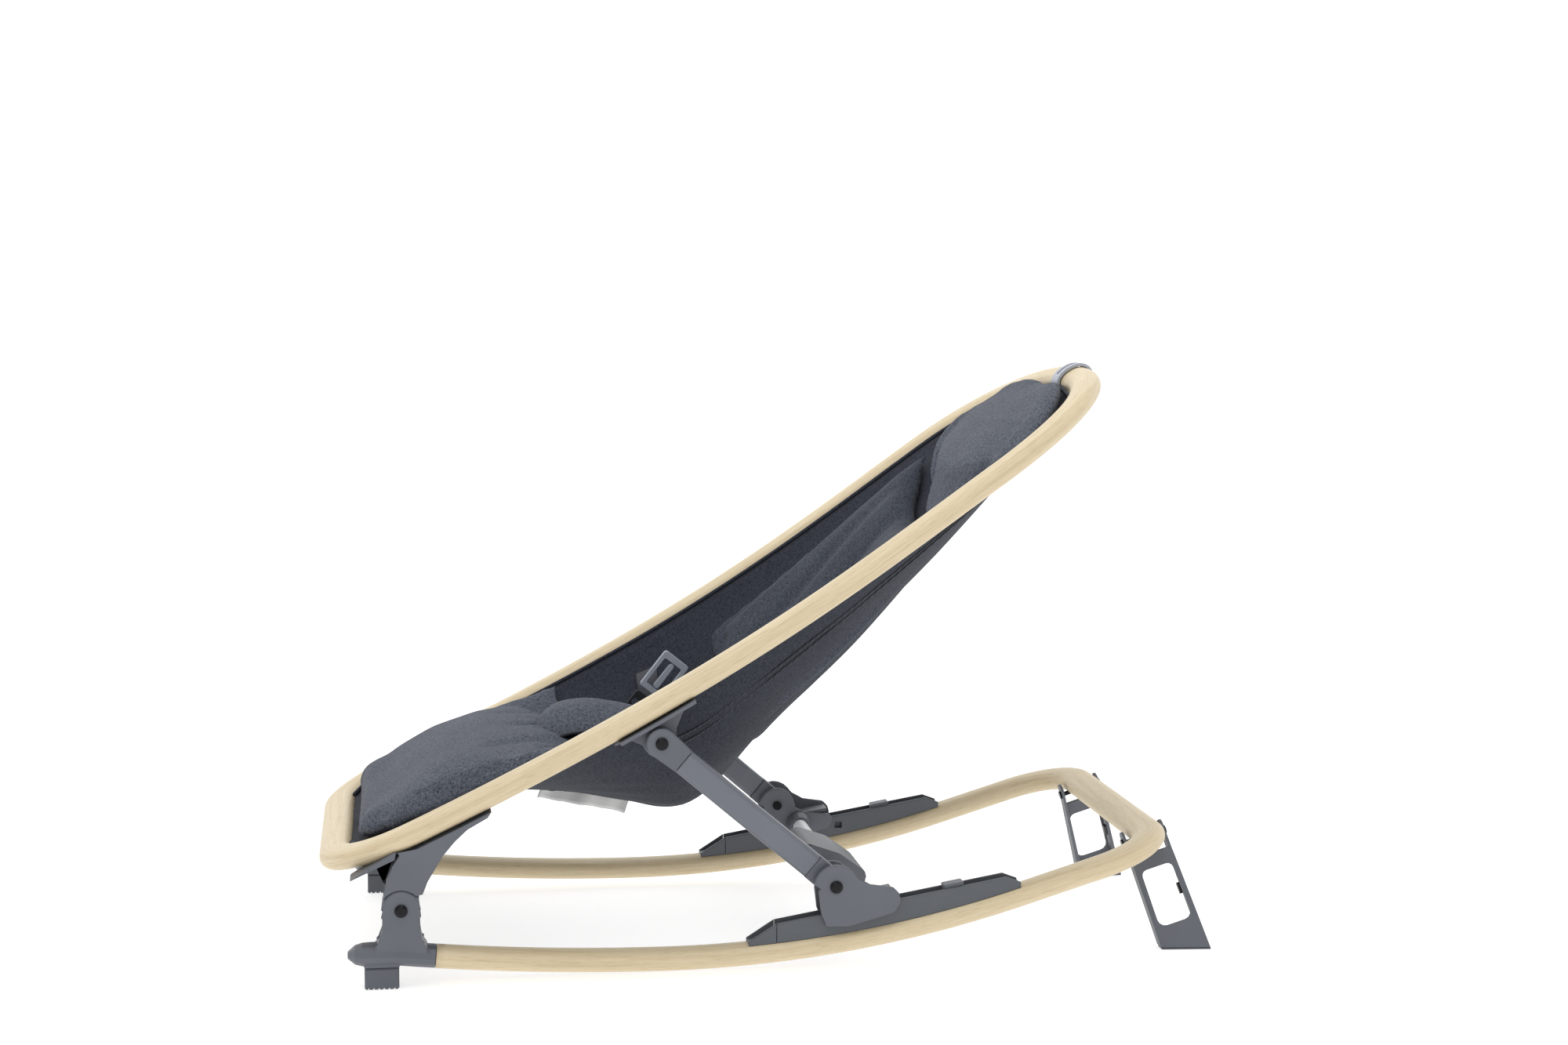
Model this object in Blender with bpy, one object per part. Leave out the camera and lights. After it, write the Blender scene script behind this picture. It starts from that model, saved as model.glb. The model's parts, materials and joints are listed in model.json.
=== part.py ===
"""Infant bouncer seat: two bent-wood frames, folding struts on sliding shoes, and a soft sling.

+X runs from the foot end to the head end, +Y across, +Z up. Lengths are in metres.
The geometry is written in a drawing frame whose X = 0 is the front of the foot blocks, and SHIFT
moves it so that the row origin is the middle of the bounding box on the floor.
"""
import bpy
import bmesh
import math
from mathutils import Vector

for old in list(bpy.data.objects):
    bpy.data.objects.remove(old, do_unlink=True)

# ---------------------------------------------------------------- driving dimensions
FLOOR = 0.0028                      # the floor in the drawing frame
SHIFT = Vector((0.40961, 0.0, FLOOR))
GAP = 0.0003                        # air between pieces that touch
RAIL_Y = 0.210                      # half the distance between the rails' centre lines
TUBE_W, TUBE_T = 0.0340, 0.0226     # oval wooden tube: width across the loop, thickness
HINGE_A = (0.0359, 0.0808)          # seat leg on the front end cap (X, Z)
HINGE_B = (0.2911, 0.2387)          # strut on the seat frame
HINGE_C = (0.4640, 0.0911)          # strut on the sliding shoe
SEAT_CURVE = ((-0.028, 0.1190), (0.4529, 0.3350), (0.5267, 0.4406), (0.757, 0.5840))
SEAT_CORNER = 0.085                 # plan radius of the seat loop at the feet
SEAT_HEAD_X = 0.630                 # where the rails start to close into the round head end
HEAD_P, HEAD_Q = 2.0, 2.4           # squareness of the head end along and across
ROCKER_X, ROCKER_Z = 0.299, 0.0205  # lowest point of the base rails' centre line
ROCKER_FRONT_R, ROCKER_REAR_R, ROCKER_REAR_TILT = 2.39, 1.218, 0.2966
BASE_REAR_X, BASE_CORNER = 0.804, 0.066
RAIL_FRONT_X = 0.0690               # wood starts here, inside edge of the end cap
TRACK_W, TRACK_WALL, TRACK_GROOVE = 0.0225, 0.0028, 0.0075
TRACK_TOP = ((0.4052, 0.0541), (0.6380, 0.0941))
STAND_TILT, STAND_SPLAY, STAND_LEN = math.radians(17.2), math.radians(18.5), 0.1226
STAND_PIN_Y, STAND_PIN_Z = 0.1335, 0.1125
BOLT_R = 0.0040                     # shanks of the hinge bolts

COLOURS = {
    "wood": (0.78, 0.66, 0.45), "grey_plastic": (0.115, 0.125, 0.145), "strut_grey": (0.125, 0.135, 0.155),
    "light_tube": (0.42, 0.45, 0.47), "light_plastic": (0.33, 0.36, 0.41), "black": (0.012, 0.012, 0.014),
    "fabric": (0.055, 0.062, 0.080), "pad": (0.060, 0.068, 0.086), "webbing": (0.03, 0.033, 0.042),
    "label": (0.82, 0.82, 0.82), "rubber": (0.09, 0.095, 0.11),
}


# ---------------------------------------------------------------- building blocks
def material(slot, metallic=0.0, rough=0.55):
    """One Principled material per slot, made once."""
    mat = bpy.data.materials.get(slot)
    if mat is None:
        mat = bpy.data.materials.new(slot)
        mat.use_nodes = True
        shader = mat.node_tree.nodes["Principled BSDF"]
        shader.inputs["Base Color"].default_value = (*COLOURS[slot], 1.0)
        shader.inputs["Metallic"].default_value = metallic
        shader.inputs["Roughness"].default_value = rough
    return mat


def put(name, bm, slot, origin=(0.0, 0.0, 0.0), smooth=0.6):
    """Finish a closed mesh as a named object whose origin sits on its joint axis."""
    bmesh.ops.remove_doubles(bm, verts=bm.verts, dist=1e-6)
    bmesh.ops.recalc_face_normals(bm, faces=bm.faces)
    bmesh.ops.translate(bm, verts=bm.verts, vec=-Vector(origin))
    mesh = bpy.data.meshes.new(name)
    bm.to_mesh(mesh)
    bm.free()
    mesh.materials.append(material(slot))
    for poly in mesh.polygons:
        poly.use_smooth = True
    mesh.set_sharp_from_angle(angle=smooth)
    obj = bpy.data.objects.new(name, mesh)
    obj.location = Vector(origin) - SHIFT
    bpy.context.scene.collection.objects.link(obj)
    return obj


def combine(obj, others, operation):
    """Exact boolean of obj with scratch bodies, which are then removed."""
    for other in others:
        mod = obj.modifiers.new("cut", "BOOLEAN")
        mod.solver, mod.operation, mod.object = "EXACT", operation, other
    bpy.context.view_layer.update()
    graph = bpy.context.evaluated_depsgraph_get()
    mesh = bpy.data.meshes.new_from_object(obj.evaluated_get(graph))
    obj.modifiers.clear()
    obj.data = mesh
    for other in others:
        bpy.data.objects.remove(other, do_unlink=True)
    for poly in mesh.polygons:
        poly.use_smooth = True
    mesh.set_sharp_from_angle(angle=0.6)
    return obj


def union(obj, *others):
    return combine(obj, others, "UNION")


def cut(obj, *others):
    return combine(obj, others, "DIFFERENCE")


def rounded(points, radius, steps=2):
    """Polygon with its corners rounded; a point may carry its own radius as a third value."""
    out = []
    count = len(points)
    for i, point in enumerate(points):
        here = Vector(point[:2])
        before, after = Vector(points[i - 1][:2]) - here, Vector(points[(i + 1) % count][:2]) - here
        r = point[2] if len(point) > 2 else radius
        half = before.angle(after) / 2
        reach = min(r / math.tan(half), 0.48 * before.length, 0.48 * after.length) if half > 0.02 else 0
        if reach < 1e-5 or half > 1.5:
            out.append(here)
            continue
        r = reach * math.tan(half)
        centre = here + (before.normalized() + after.normalized()).normalized() * (r / math.sin(half))
        a = here + before.normalized() * reach - centre
        b = here + after.normalized() * reach - centre
        turn = a.angle_signed(b)
        for k in range(steps + 1):
            ang = -turn * k / steps
            out.append(centre + Vector((a.x * math.cos(ang) - a.y * math.sin(ang),
                                        a.x * math.sin(ang) + a.y * math.cos(ang))))
    return out


def arc(centre, r, start, end, steps=7):
    """Points on an arc in the XZ plane, angles in degrees."""
    return [(centre[0] + r * math.cos(math.radians(start + (end - start) * k / steps)),
             centre[1] + r * math.sin(math.radians(start + (end - start) * k / steps)))
            for k in range(steps + 1)]


def prism(outline, y0, y1, rim=0.0):
    """Extrude an XZ outline along Y and ease both rims."""
    bm = bmesh.new()
    low = [bm.verts.new((p[0], y0, p[1])) for p in outline]
    high = [bm.verts.new((p[0], y1, p[1])) for p in outline]
    caps = [bm.faces.new(low), bm.faces.new(list(reversed(high)))]
    for i in range(len(outline)):
        j = (i + 1) % len(outline)
        bm.faces.new((low[j], low[i], high[i], high[j]))
    if rim:
        edges = {e for face in caps for e in face.edges}
        bmesh.ops.bevel(bm, geom=list(edges), offset=rim, segments=1, affect="EDGES", clamp_overlap=True)
    return bm


def box(lo, hi, rim=0.0):
    """Box between two corners, with all its edges eased."""
    bm = bmesh.new()
    bmesh.ops.create_cube(bm, size=1.0)
    for v in bm.verts:
        v.co = Vector([lo[i] + (v.co[i] + 0.5) * (hi[i] - lo[i]) for i in range(3)])
    if rim:
        bmesh.ops.bevel(bm, geom=list(bm.edges), offset=rim, segments=1, affect="EDGES")
    return bm


def lathe(profile, start, direction, steps=12):
    """Solid of revolution: profile is (distance along the axis, radius) pairs."""
    axis = Vector(direction).normalized()
    side = axis.orthogonal().normalized()
    other = axis.cross(side)
    bm = bmesh.new()
    rings = []
    for along, r in profile:
        mid = Vector(start) + axis * along
        rings.append([bm.verts.new(mid + side * r * math.cos(2 * math.pi * k / steps)
                                   + other * r * math.sin(2 * math.pi * k / steps)) for k in range(steps)])
    for a, b in zip(rings, rings[1:]):
        for k in range(steps):
            bm.faces.new((a[k], a[(k + 1) % steps], b[(k + 1) % steps], b[k]))
    bm.faces.new(rings[0])
    bm.faces.new(rings[-1])
    return bm


def oval(width, thick, steps=14, power=2.25):
    """Section of the wooden tube: across the loop, then through its thickness."""
    out = []
    for k in range(steps):
        a = 2 * math.pi * k / steps
        c, s = math.cos(a), math.sin(a)
        out.append((math.copysign(abs(c) ** (2 / power), c) * width / 2,
                    math.copysign(abs(s) ** (2 / power), s) * thick / 2))
    return out


def sweep(path, normals, section, closed=False):
    """Skin a section along a path; section pairs are (across, along the normal)."""
    bm = bmesh.new()
    count = len(path)
    rings = []
    for i, mid in enumerate(path):
        before = path[i - 1] if (i or closed) else path[0]
        after = path[(i + 1) % count] if (i < count - 1 or closed) else path[-1]
        tangent = (after - before).normalized()
        up = (normals[i] - tangent * normals[i].dot(tangent)).normalized()
        across = tangent.cross(up)
        shape = section(i) if callable(section) else section
        rings.append([bm.verts.new(mid + across * u + up * v) for u, v in shape])
    n = len(rings[0])
    for i in range(count if closed else count - 1):
        a, b = rings[i], rings[(i + 1) % count]
        for k in range(n):
            bm.faces.new((a[k], a[(k + 1) % n], b[(k + 1) % n], b[k]))
    if not closed:
        bm.faces.new(rings[0])
        bm.faces.new(rings[-1])
    return bm


# ---------------------------------------------------------------- centre lines
def seat_point(t):
    """Side profile of the seat loop: a cubic curve from the feet to the head."""
    a, b, c, d = (Vector(p) for p in SEAT_CURVE)
    return a * (1 - t) ** 3 + b * 3 * (1 - t) ** 2 * t + c * 3 * (1 - t) * t * t + d * t ** 3


SEAT_STEPS = 400
SEAT_SAMPLES = [seat_point(k / SEAT_STEPS) for k in range(SEAT_STEPS + 1)]
SEAT_LENGTHS = [0.0]
for first, second in zip(SEAT_SAMPLES, SEAT_SAMPLES[1:]):
    SEAT_LENGTHS.append(SEAT_LENGTHS[-1] + (second - first).length)
SEAT_LENGTH = SEAT_LENGTHS[-1]


def seat_at(distance):
    """Point and upward normal (XZ) at a distance along the side profile."""
    distance = min(max(distance, 0.0), SEAT_LENGTH - 1e-6)
    k = next(i for i, d in enumerate(SEAT_LENGTHS) if d > distance) - 1
    a, b = SEAT_SAMPLES[k], SEAT_SAMPLES[k + 1]
    f = (distance - SEAT_LENGTHS[k]) / (SEAT_LENGTHS[k + 1] - SEAT_LENGTHS[k])
    tangent = (b - a).normalized()
    return a.lerp(b, f), Vector((-tangent.y, tangent.x))


def seat_distance(x):
    """Distance along the side profile where it reaches a drawing X."""
    k = next(i for i, p in enumerate(SEAT_SAMPLES) if p.x > x) - 1
    a, b = SEAT_SAMPLES[k], SEAT_SAMPLES[k + 1]
    return SEAT_LENGTHS[k] + (SEAT_LENGTHS[k + 1] - SEAT_LENGTHS[k]) * (x - a.x) / (b.x - a.x)


HEAD_START = seat_distance(SEAT_HEAD_X)
HEAD_LENGTH = SEAT_LENGTH - HEAD_START


def half_width(distance):
    """Half-width of the seat loop's centre line at a distance along its profile."""
    if distance < SEAT_CORNER:
        return RAIL_Y - SEAT_CORNER + math.sqrt(max(SEAT_CORNER ** 2 - (SEAT_CORNER - distance) ** 2, 0))
    if distance > HEAD_START:
        s = min((distance - HEAD_START) / HEAD_LENGTH, 1.0)
        return RAIL_Y * max(1 - s ** HEAD_P, 0.0) ** (1 / HEAD_Q)
    return RAIL_Y


def base_z(x):
    """Centre line of a base rail: a shallow rocker in front, a tighter one behind, then straight."""
    d = x - ROCKER_X
    if d < 0:
        return ROCKER_Z + d * d / (2 * ROCKER_FRONT_R)
    straight = ROCKER_REAR_R * math.sin(ROCKER_REAR_TILT)
    if d < straight:
        return ROCKER_Z + ROCKER_REAR_R - math.sqrt(ROCKER_REAR_R ** 2 - d * d)
    return ROCKER_Z + ROCKER_REAR_R * (1 - math.cos(ROCKER_REAR_TILT)) + (d - straight) * math.tan(
        ROCKER_REAR_TILT)


def base_normal(x):
    slope = (base_z(x + 0.001) - base_z(x - 0.001)) / 0.002
    return Vector((-slope, 0, 1)).normalized()


# ---------------------------------------------------------------- the two wooden frames
def build_seat_frame():
    plan = []                                       # (distance, y) round the near half of the loop
    flat = RAIL_Y - SEAT_CORNER
    plan += [(0.0, -flat * k / 4) for k in range(4)]
    plan += [(SEAT_CORNER * (1 - math.cos(math.radians(a))), -flat - SEAT_CORNER * math.sin(math.radians(a)))
             for a in range(0, 90, 15)]
    plan += [(SEAT_CORNER + (HEAD_START - SEAT_CORNER) * k / 14, -RAIL_Y) for k in range(15)]
    for k in range(1, 12):
        a = math.radians(90 * k / 12)
        plan.append((HEAD_START + HEAD_LENGTH * math.sin(a) ** (2 / HEAD_P),
                     -RAIL_Y * math.cos(a) ** (2 / HEAD_Q)))
    plan.append((SEAT_LENGTH - 1e-5, 0.0))
    full = plan + [(d, -y) for d, y in reversed(plan[1:-1])]
    path, normals = [], []
    for d, y in full:
        p, n = seat_at(d)
        path.append(Vector((p.x, y, p.y)))
        normals.append(Vector((n.x, 0, n.y)))
    put("seat_frame", sweep(path, normals, oval(TUBE_W, TUBE_T), closed=True), "wood",
        (HINGE_A[0], 0, HINGE_A[1]), smooth=1.2)


def build_base_frame():
    start = BASE_REAR_X - BASE_CORNER
    half = [(RAIL_FRONT_X + GAP + (start - RAIL_FRONT_X) * k / 16, -RAIL_Y) for k in range(17)]
    half += [(start + BASE_CORNER * math.sin(math.radians(a)),
              -RAIL_Y + BASE_CORNER * (1 - math.cos(math.radians(a)))) for a in range(12, 91, 13)]
    half += [(BASE_REAR_X, -(RAIL_Y - BASE_CORNER) * (1 - k / 3)) for k in range(1, 3)]
    full = half + [(BASE_REAR_X, 0.0)] + [(x, -y) for x, y in reversed(half)]
    path = [Vector((x, y, base_z(x))) for x, y in full]
    put("base_frame", sweep(path, [base_normal(x) for x, y in full], oval(TUBE_W, TUBE_T)), "wood", smooth=1.2)


# ---------------------------------------------------------------- front end cap, foot and leg
def span(side, inner, outer):
    """Y range for a piece that lies between two distances from the middle, on one side."""
    return (inner * side, outer * side) if side > 0 else (outer * side, inner * side)


def build_front(side, tag):
    ax, az = HINGE_A
    path, sizes = [], []
    for k in range(13):                             # rounded nose that carries on the tube's line
        x = RAIL_FRONT_X - GAP - (RAIL_FRONT_X - GAP + 0.0162) * k / 12
        path.append(Vector((x, side * RAIL_Y, base_z(max(x, 0.03)) - 0.0005 * (k / 12) ** 2)))
        blunt = max(0.0, (k - 9) / 3)
        sizes.append(max(0.30, math.sqrt(max(1 - blunt ** 2.6, 0.0))))
    nose = put("end_cap_" + tag, sweep(path, [Vector((0, 0, 1))] * 13,
               lambda i: oval(TUBE_W * sizes[i], TUBE_T * sizes[i])), "grey_plastic")
    y0, y1 = span(side, 0.1945, 0.2255)
    post = [(0.0615, 0.034), (0.0615, 0.0425, 0.006), (0.0565, 0.0490, 0.01), (0.0545, 0.060),
            (0.0542, 0.0725), (ax + 0.0178, 0.0745)]
    post += arc((ax, az), 0.0197, 26, 154, 10)
    post += [(ax - 0.0178, 0.0745), (0.0176, 0.0725), (0.0174, 0.060), (0.0160, 0.0490, 0.01),
             (0.0080, 0.0430, 0.008), (0.0080, 0.034)]
    pad = put("scratch", box((-0.0004, side * RAIL_Y - 0.0133, 0.0240),
                             (0.0340, side * RAIL_Y + 0.0133, 0.0340), 0.001), "grey_plastic")
    union(nose, put("scratch", prism(rounded(post, 0.0, 2), y0, y1, 0.0016), "grey_plastic"), pad)
    slot = put("scratch", box((ax - 0.030, side * RAIL_Y - 0.0084, 0.0610),
                              (ax + 0.030, side * RAIL_Y + 0.0084, 0.130)), "grey_plastic")
    seat = put("scratch", box((-0.0008, side * RAIL_Y - 0.0140, -0.001),
                              (0.0344, side * RAIL_Y + 0.0140, 0.0243)), "grey_plastic")
    b0, b1 = span(side, 0.190, 0.235)
    hole = put("scratch", lathe([(0, BOLT_R + 0.0002), (b1 - b0, BOLT_R + 0.0002)], (ax, b0, az), (0, 1, 0)),
               "grey_plastic")
    cut(nose, slot, seat, hole)

    foot = put("foot_" + tag, box((0.0, side * RAIL_Y - 0.0133, FLOOR), (0.0335, side * RAIL_Y + 0.0133, 0.0240),
                                  0.0016), "rubber")
    ribs = [put("scratch", box((0.0030 + 0.0050 * k, side * RAIL_Y - 0.02, FLOOR - 0.002),
                               (0.0046 + 0.0050 * k, side * RAIL_Y + 0.02, FLOOR + 0.0016)), "rubber") for k in range(6)]
    cut(foot, *ribs)

    # leg: flange under the seat rail, body, and a tongue between the cap's cheeks
    under = [seat_under(x, 0.0009) for x in (-0.012, 0.005, 0.025, 0.047, 0.07, 0.095, 0.1185)]
    leg = [(-0.0178, 0.1090, 0.002)] + under
    leg += [(0.1206, 0.1700, 0.001), (0.1007, 0.1592), (0.0885, 0.1474), (0.0770, 0.1338), (0.0700, 0.1224),
            (0.0615, 0.1087), (0.0570, 0.0962, 0.001)]
    leg += arc((ax, az), 0.0203, 44, 148, 7)
    leg += [(0.0191, 0.0930, 0.001), (0.0215, 0.1061), (0.0278, 0.1245), (0.0365, 0.1372, 0.004),
            (0.0300, 0.1385, 0.004)]
    y0, y1 = span(side, 0.1950, 0.2252)
    body = put("leg_bracket_" + tag, prism(rounded(leg, 0.0, 2), y0, y1, 0.0013), "grey_plastic",
               (ax, 0, az))
    tongue = [(ax - 0.0165, az + 0.026)] + arc((ax, az), 0.0168, 180, 360, 8) + [(ax + 0.0165, az + 0.026)]
    t0, t1 = side * RAIL_Y - 0.0080, side * RAIL_Y + 0.0080
    union(body, put("scratch", prism(tongue, t0, t1), "grey_plastic"))
    hole = put("scratch", lathe([(0, BOLT_R + 0.0002), (0.045, BOLT_R + 0.0002)], (ax, b0, az), (0, 1, 0)),
               "grey_plastic")
    cut(body, hole)
    bolt("hinge_bolt_" + tag, ax, az, side, 0.1945, 0.2255)


def seat_under(x, extra=0.0):
    """Point on the underside of the seat rail at a drawing X, just clear of the wood."""
    p, n = seat_at(seat_distance(x))
    return tuple(p - n * (TUBE_T / 2 + 0.0009 + extra))


def bolt(name, x, z, side, inner, outer):
    """Hinge bolt: domed black cap outside, hexagon nut inside."""
    profile = [(0.0, 0.0050), (0.0030, 0.0050), (0.0031, BOLT_R), (outer - inner + 0.0036, BOLT_R),
               (outer - inner + 0.0037, 0.0064), (outer - inner + 0.0050, 0.0064),
               (outer - inner + 0.0066, 0.0040)]
    put(name, lathe(profile, (x, side * (inner - 0.0033), z), (0, side, 0), 14), "black", (x, 0, z))


# ---------------------------------------------------------------- struts
def build_strut(side, tag):
    bx, bz = HINGE_B
    cx, cz = HINGE_C
    along = Vector((cx - bx, cz - bz)).normalized()
    up = Vector((-along.y, along.x))
    flange = [seat_under(x) for x in (0.2425, 0.262, 0.281, 0.300, 0.3195)]
    web = flange + [(0.3172, 0.2754, 0.001), (0.3063, 0.2492, 0.006)]
    web += arc((bx, bz), 0.0172, -10, -170, 8)
    web += [(0.2616, 0.2400, 0.002), (0.2439, 0.2340, 0.001)]
    y0, y1 = span(side, 0.1950, 0.2095)
    bracket = put("strut_bracket_" + tag, prism(rounded(web, 0.0, 2), y0, y1, 0.0012), "grey_plastic",
                  (bx, 0, bz))
    cap = [seat_under(x, 0.0001) for x in (0.2435, 0.262, 0.281, 0.300, 0.3185)]
    cap += [seat_under(x, 0.0038) for x in (0.3175, 0.300, 0.281, 0.262, 0.2445)]
    z0, z1 = span(side, 0.2030, 0.2252)
    wide = put("scratch", prism(cap, z0, z1), "grey_plastic")
    union(bracket, wide)
    b0 = min(side * 0.190, side * 0.240)
    hole = put("scratch", lathe([(0, BOLT_R + 0.0002), (0.05, BOLT_R + 0.0002)], (bx, b0, bz), (0, 1, 0)),
               "grey_plastic")
    cut(bracket, hole)

    # plastic lugs at both ends of the metal strut
    length = (Vector(HINGE_C) - Vector(HINGE_B)).length
    for name, mid, sign, r, s0, s1 in (("strut_lug_", Vector(HINGE_B), 1, 0.0150, 0.2099, 0.2250),
                                       ("strut_foot_", Vector(HINGE_C), -1, 0.0131, 0.2020, 0.2180)):
        reach = 0.0285
        face = 90 if sign > 0 else -90
        ang = math.degrees(math.atan2(along.y, along.x)) + face
        outline = [tuple(p) for p in arc(mid, r, ang, ang + 180, 10)]
        end = mid + along * sign * reach
        outline += [tuple(end - up * sign * 0.0130), tuple(end + up * sign * 0.0130)]
        y0, y1 = span(side, s0, s1)
        lug = put(name + tag, prism(outline, y0, y1, 0.0012), "grey_plastic", (mid.x, 0, mid.y))
        drill = put("scratch", lathe([(0, BOLT_R + 0.0002), (0.05, BOLT_R + 0.0002)], (mid.x, b0, mid.y),
                                     (0, 1, 0)), "grey_plastic")
        cut(lug, drill)
    # the strut cranks inwards between its two lugs by a few millimetres
    start, stop = 0.0285 + GAP, length - 0.0285 - GAP
    path, normals = [], []
    for k in range(9):
        s = start + (stop - start) * k / 8
        p = Vector(HINGE_B) + along * s
        blend = min(max((k - 4.5) / 2.5, 0.0), 1.0)
        path.append(Vector((p.x, side * (0.2174 - 0.0074 * blend), p.y)))
        normals.append(Vector((up.x, 0, up.y)))
    section = [(p.x, p.y) for p in rounded([(-0.0070, -0.013), (0.0070, -0.013), (0.0070, 0.013),
                                            (-0.0070, 0.013)], 0.0042, 3)]
    put("strut_tube_" + tag, sweep(path, normals, section), "strut_grey", (bx, 0, bz))
    bolt("strut_bolt_" + tag, bx, bz, side, 0.1950, 0.2250)


# ---------------------------------------------------------------- tracks on the base rails
def track_top(x):
    (x0, z0), (x1, z1) = TRACK_TOP
    return z0 + (x - x0) * (z1 - z0) / (x1 - x0)


def track_loft(stations, side, groove):
    """U-channel whose underside is fitted over the oval rail."""
    bm = bmesh.new()
    rings = []
    half = TRACK_W / 2
    for x, top in stations:
        tilt = base_normal(x).z
        ring = []
        for k in range(7):
            y = -half + TRACK_W * k / 6
            lift = (1 - abs(y / (TUBE_W / 2)) ** 2.25) ** (1 / 2.25) * TUBE_T / 2
            ring.append((y, base_z(x) + (lift + GAP + 0.00015) / tilt))
        deep = max(top - groove, base_z(x) + (TUBE_T / 2 + 0.0022) / tilt)
        deep = min(deep, top - 0.0006)
        inner = half - TRACK_WALL
        ring += [(half, top - 0.0008), (half - 0.0008, top), (inner, top), (inner, deep), (-inner, deep),
                 (-inner, top), (-half + 0.0008, top), (-half, top - 0.0008)]
        rings.append([bm.verts.new((x, side * RAIL_Y + y, z)) for y, z in ring])
    n = len(rings[0])
    for a, b in zip(rings, rings[1:]):
        for k in range(n):
            bm.faces.new((a[k], a[(k + 1) % n], b[(k + 1) % n], b[k]))
    bm.faces.new(rings[0])
    bm.faces.new(rings[-1])
    return bm


def build_track(side, tag):
    x0, x1 = TRACK_TOP[0][0], TRACK_TOP[1][0]
    stations = [(x0 + GAP + (x1 - x0) * k / 8, track_top(x0 + (x1 - x0) * k / 8)) for k in range(9)]
    stations += [(0.6530, 0.0885)]
    track = put("track_" + tag, track_loft(stations, side, TRACK_GROOVE), "grey_plastic")
    inner = side * (RAIL_Y - TRACK_W / 2)
    holes = []
    for x in (0.4885, 0.5360):                      # lock holes in the inner wall
        z = track_top(x) - PIN_DEPTH
        holes.append(put("scratch", box((x - 0.0042, inner - 0.006, z - 0.0035),
                                        (x + 0.0042, inner + 0.006, z + 0.0035)), "grey_plastic"))
    pocket = put("scratch", box((0.5745, side * RAIL_Y - 0.0082, track_top(0.585) - 0.0165),
                                (0.5960, side * RAIL_Y + 0.0082, track_top(0.585) + 0.010)), "grey_plastic")
    cut(track, *holes, pocket)
    # ramp-shaped front end piece with an open mouth
    ramp = [(0.3772, 0.0365), (0.3840, 0.0408), (0.3915, 0.0456), (0.3990, 0.0503), (0.4049, 0.0540)]
    put("track_end_" + tag, track_loft(ramp, side, 0.0055), "grey_plastic")
    # spring stop in the groove
    stop = [(0.5751, track_top(0.5751) - 0.0100), (0.5751, track_top(0.5751) + 0.0036, 0.001),
            (0.5954, track_top(0.5954) + 0.0036, 0.001), (0.5954, track_top(0.5954) - 0.0100)]
    put("fold_stop_" + tag, prism(rounded(stop, 0.0, 3), side * RAIL_Y - 0.0078, side * RAIL_Y + 0.0078,
                                  0.0006), "grey_plastic")


# ---------------------------------------------------------------- sliding shoes and the cross tube
SHOE = [(0.4463, 0.0890, 0.004), (0.4492, 0.0640, 0.004), (0.4543, 0.0510, 0.003), (0.4776, 0.0510, 0.004),
        (0.5231, 0.0635, 0.005), (0.5296, 0.0744, 0.006), (0.5274, 0.0830, 0.005), (0.5219, 0.0886, 0.004),
        (0.4989, 0.0921, 0.006), (0.4875, 0.0962, 0.006)]
CROSS_X, CROSS_Z, CROSS_R = 0.4885, 0.0690, 0.0080
PIN_R, PIN_DEPTH = 0.0026, 0.0113   # lock pins and how far they sit below the track rim


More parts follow.
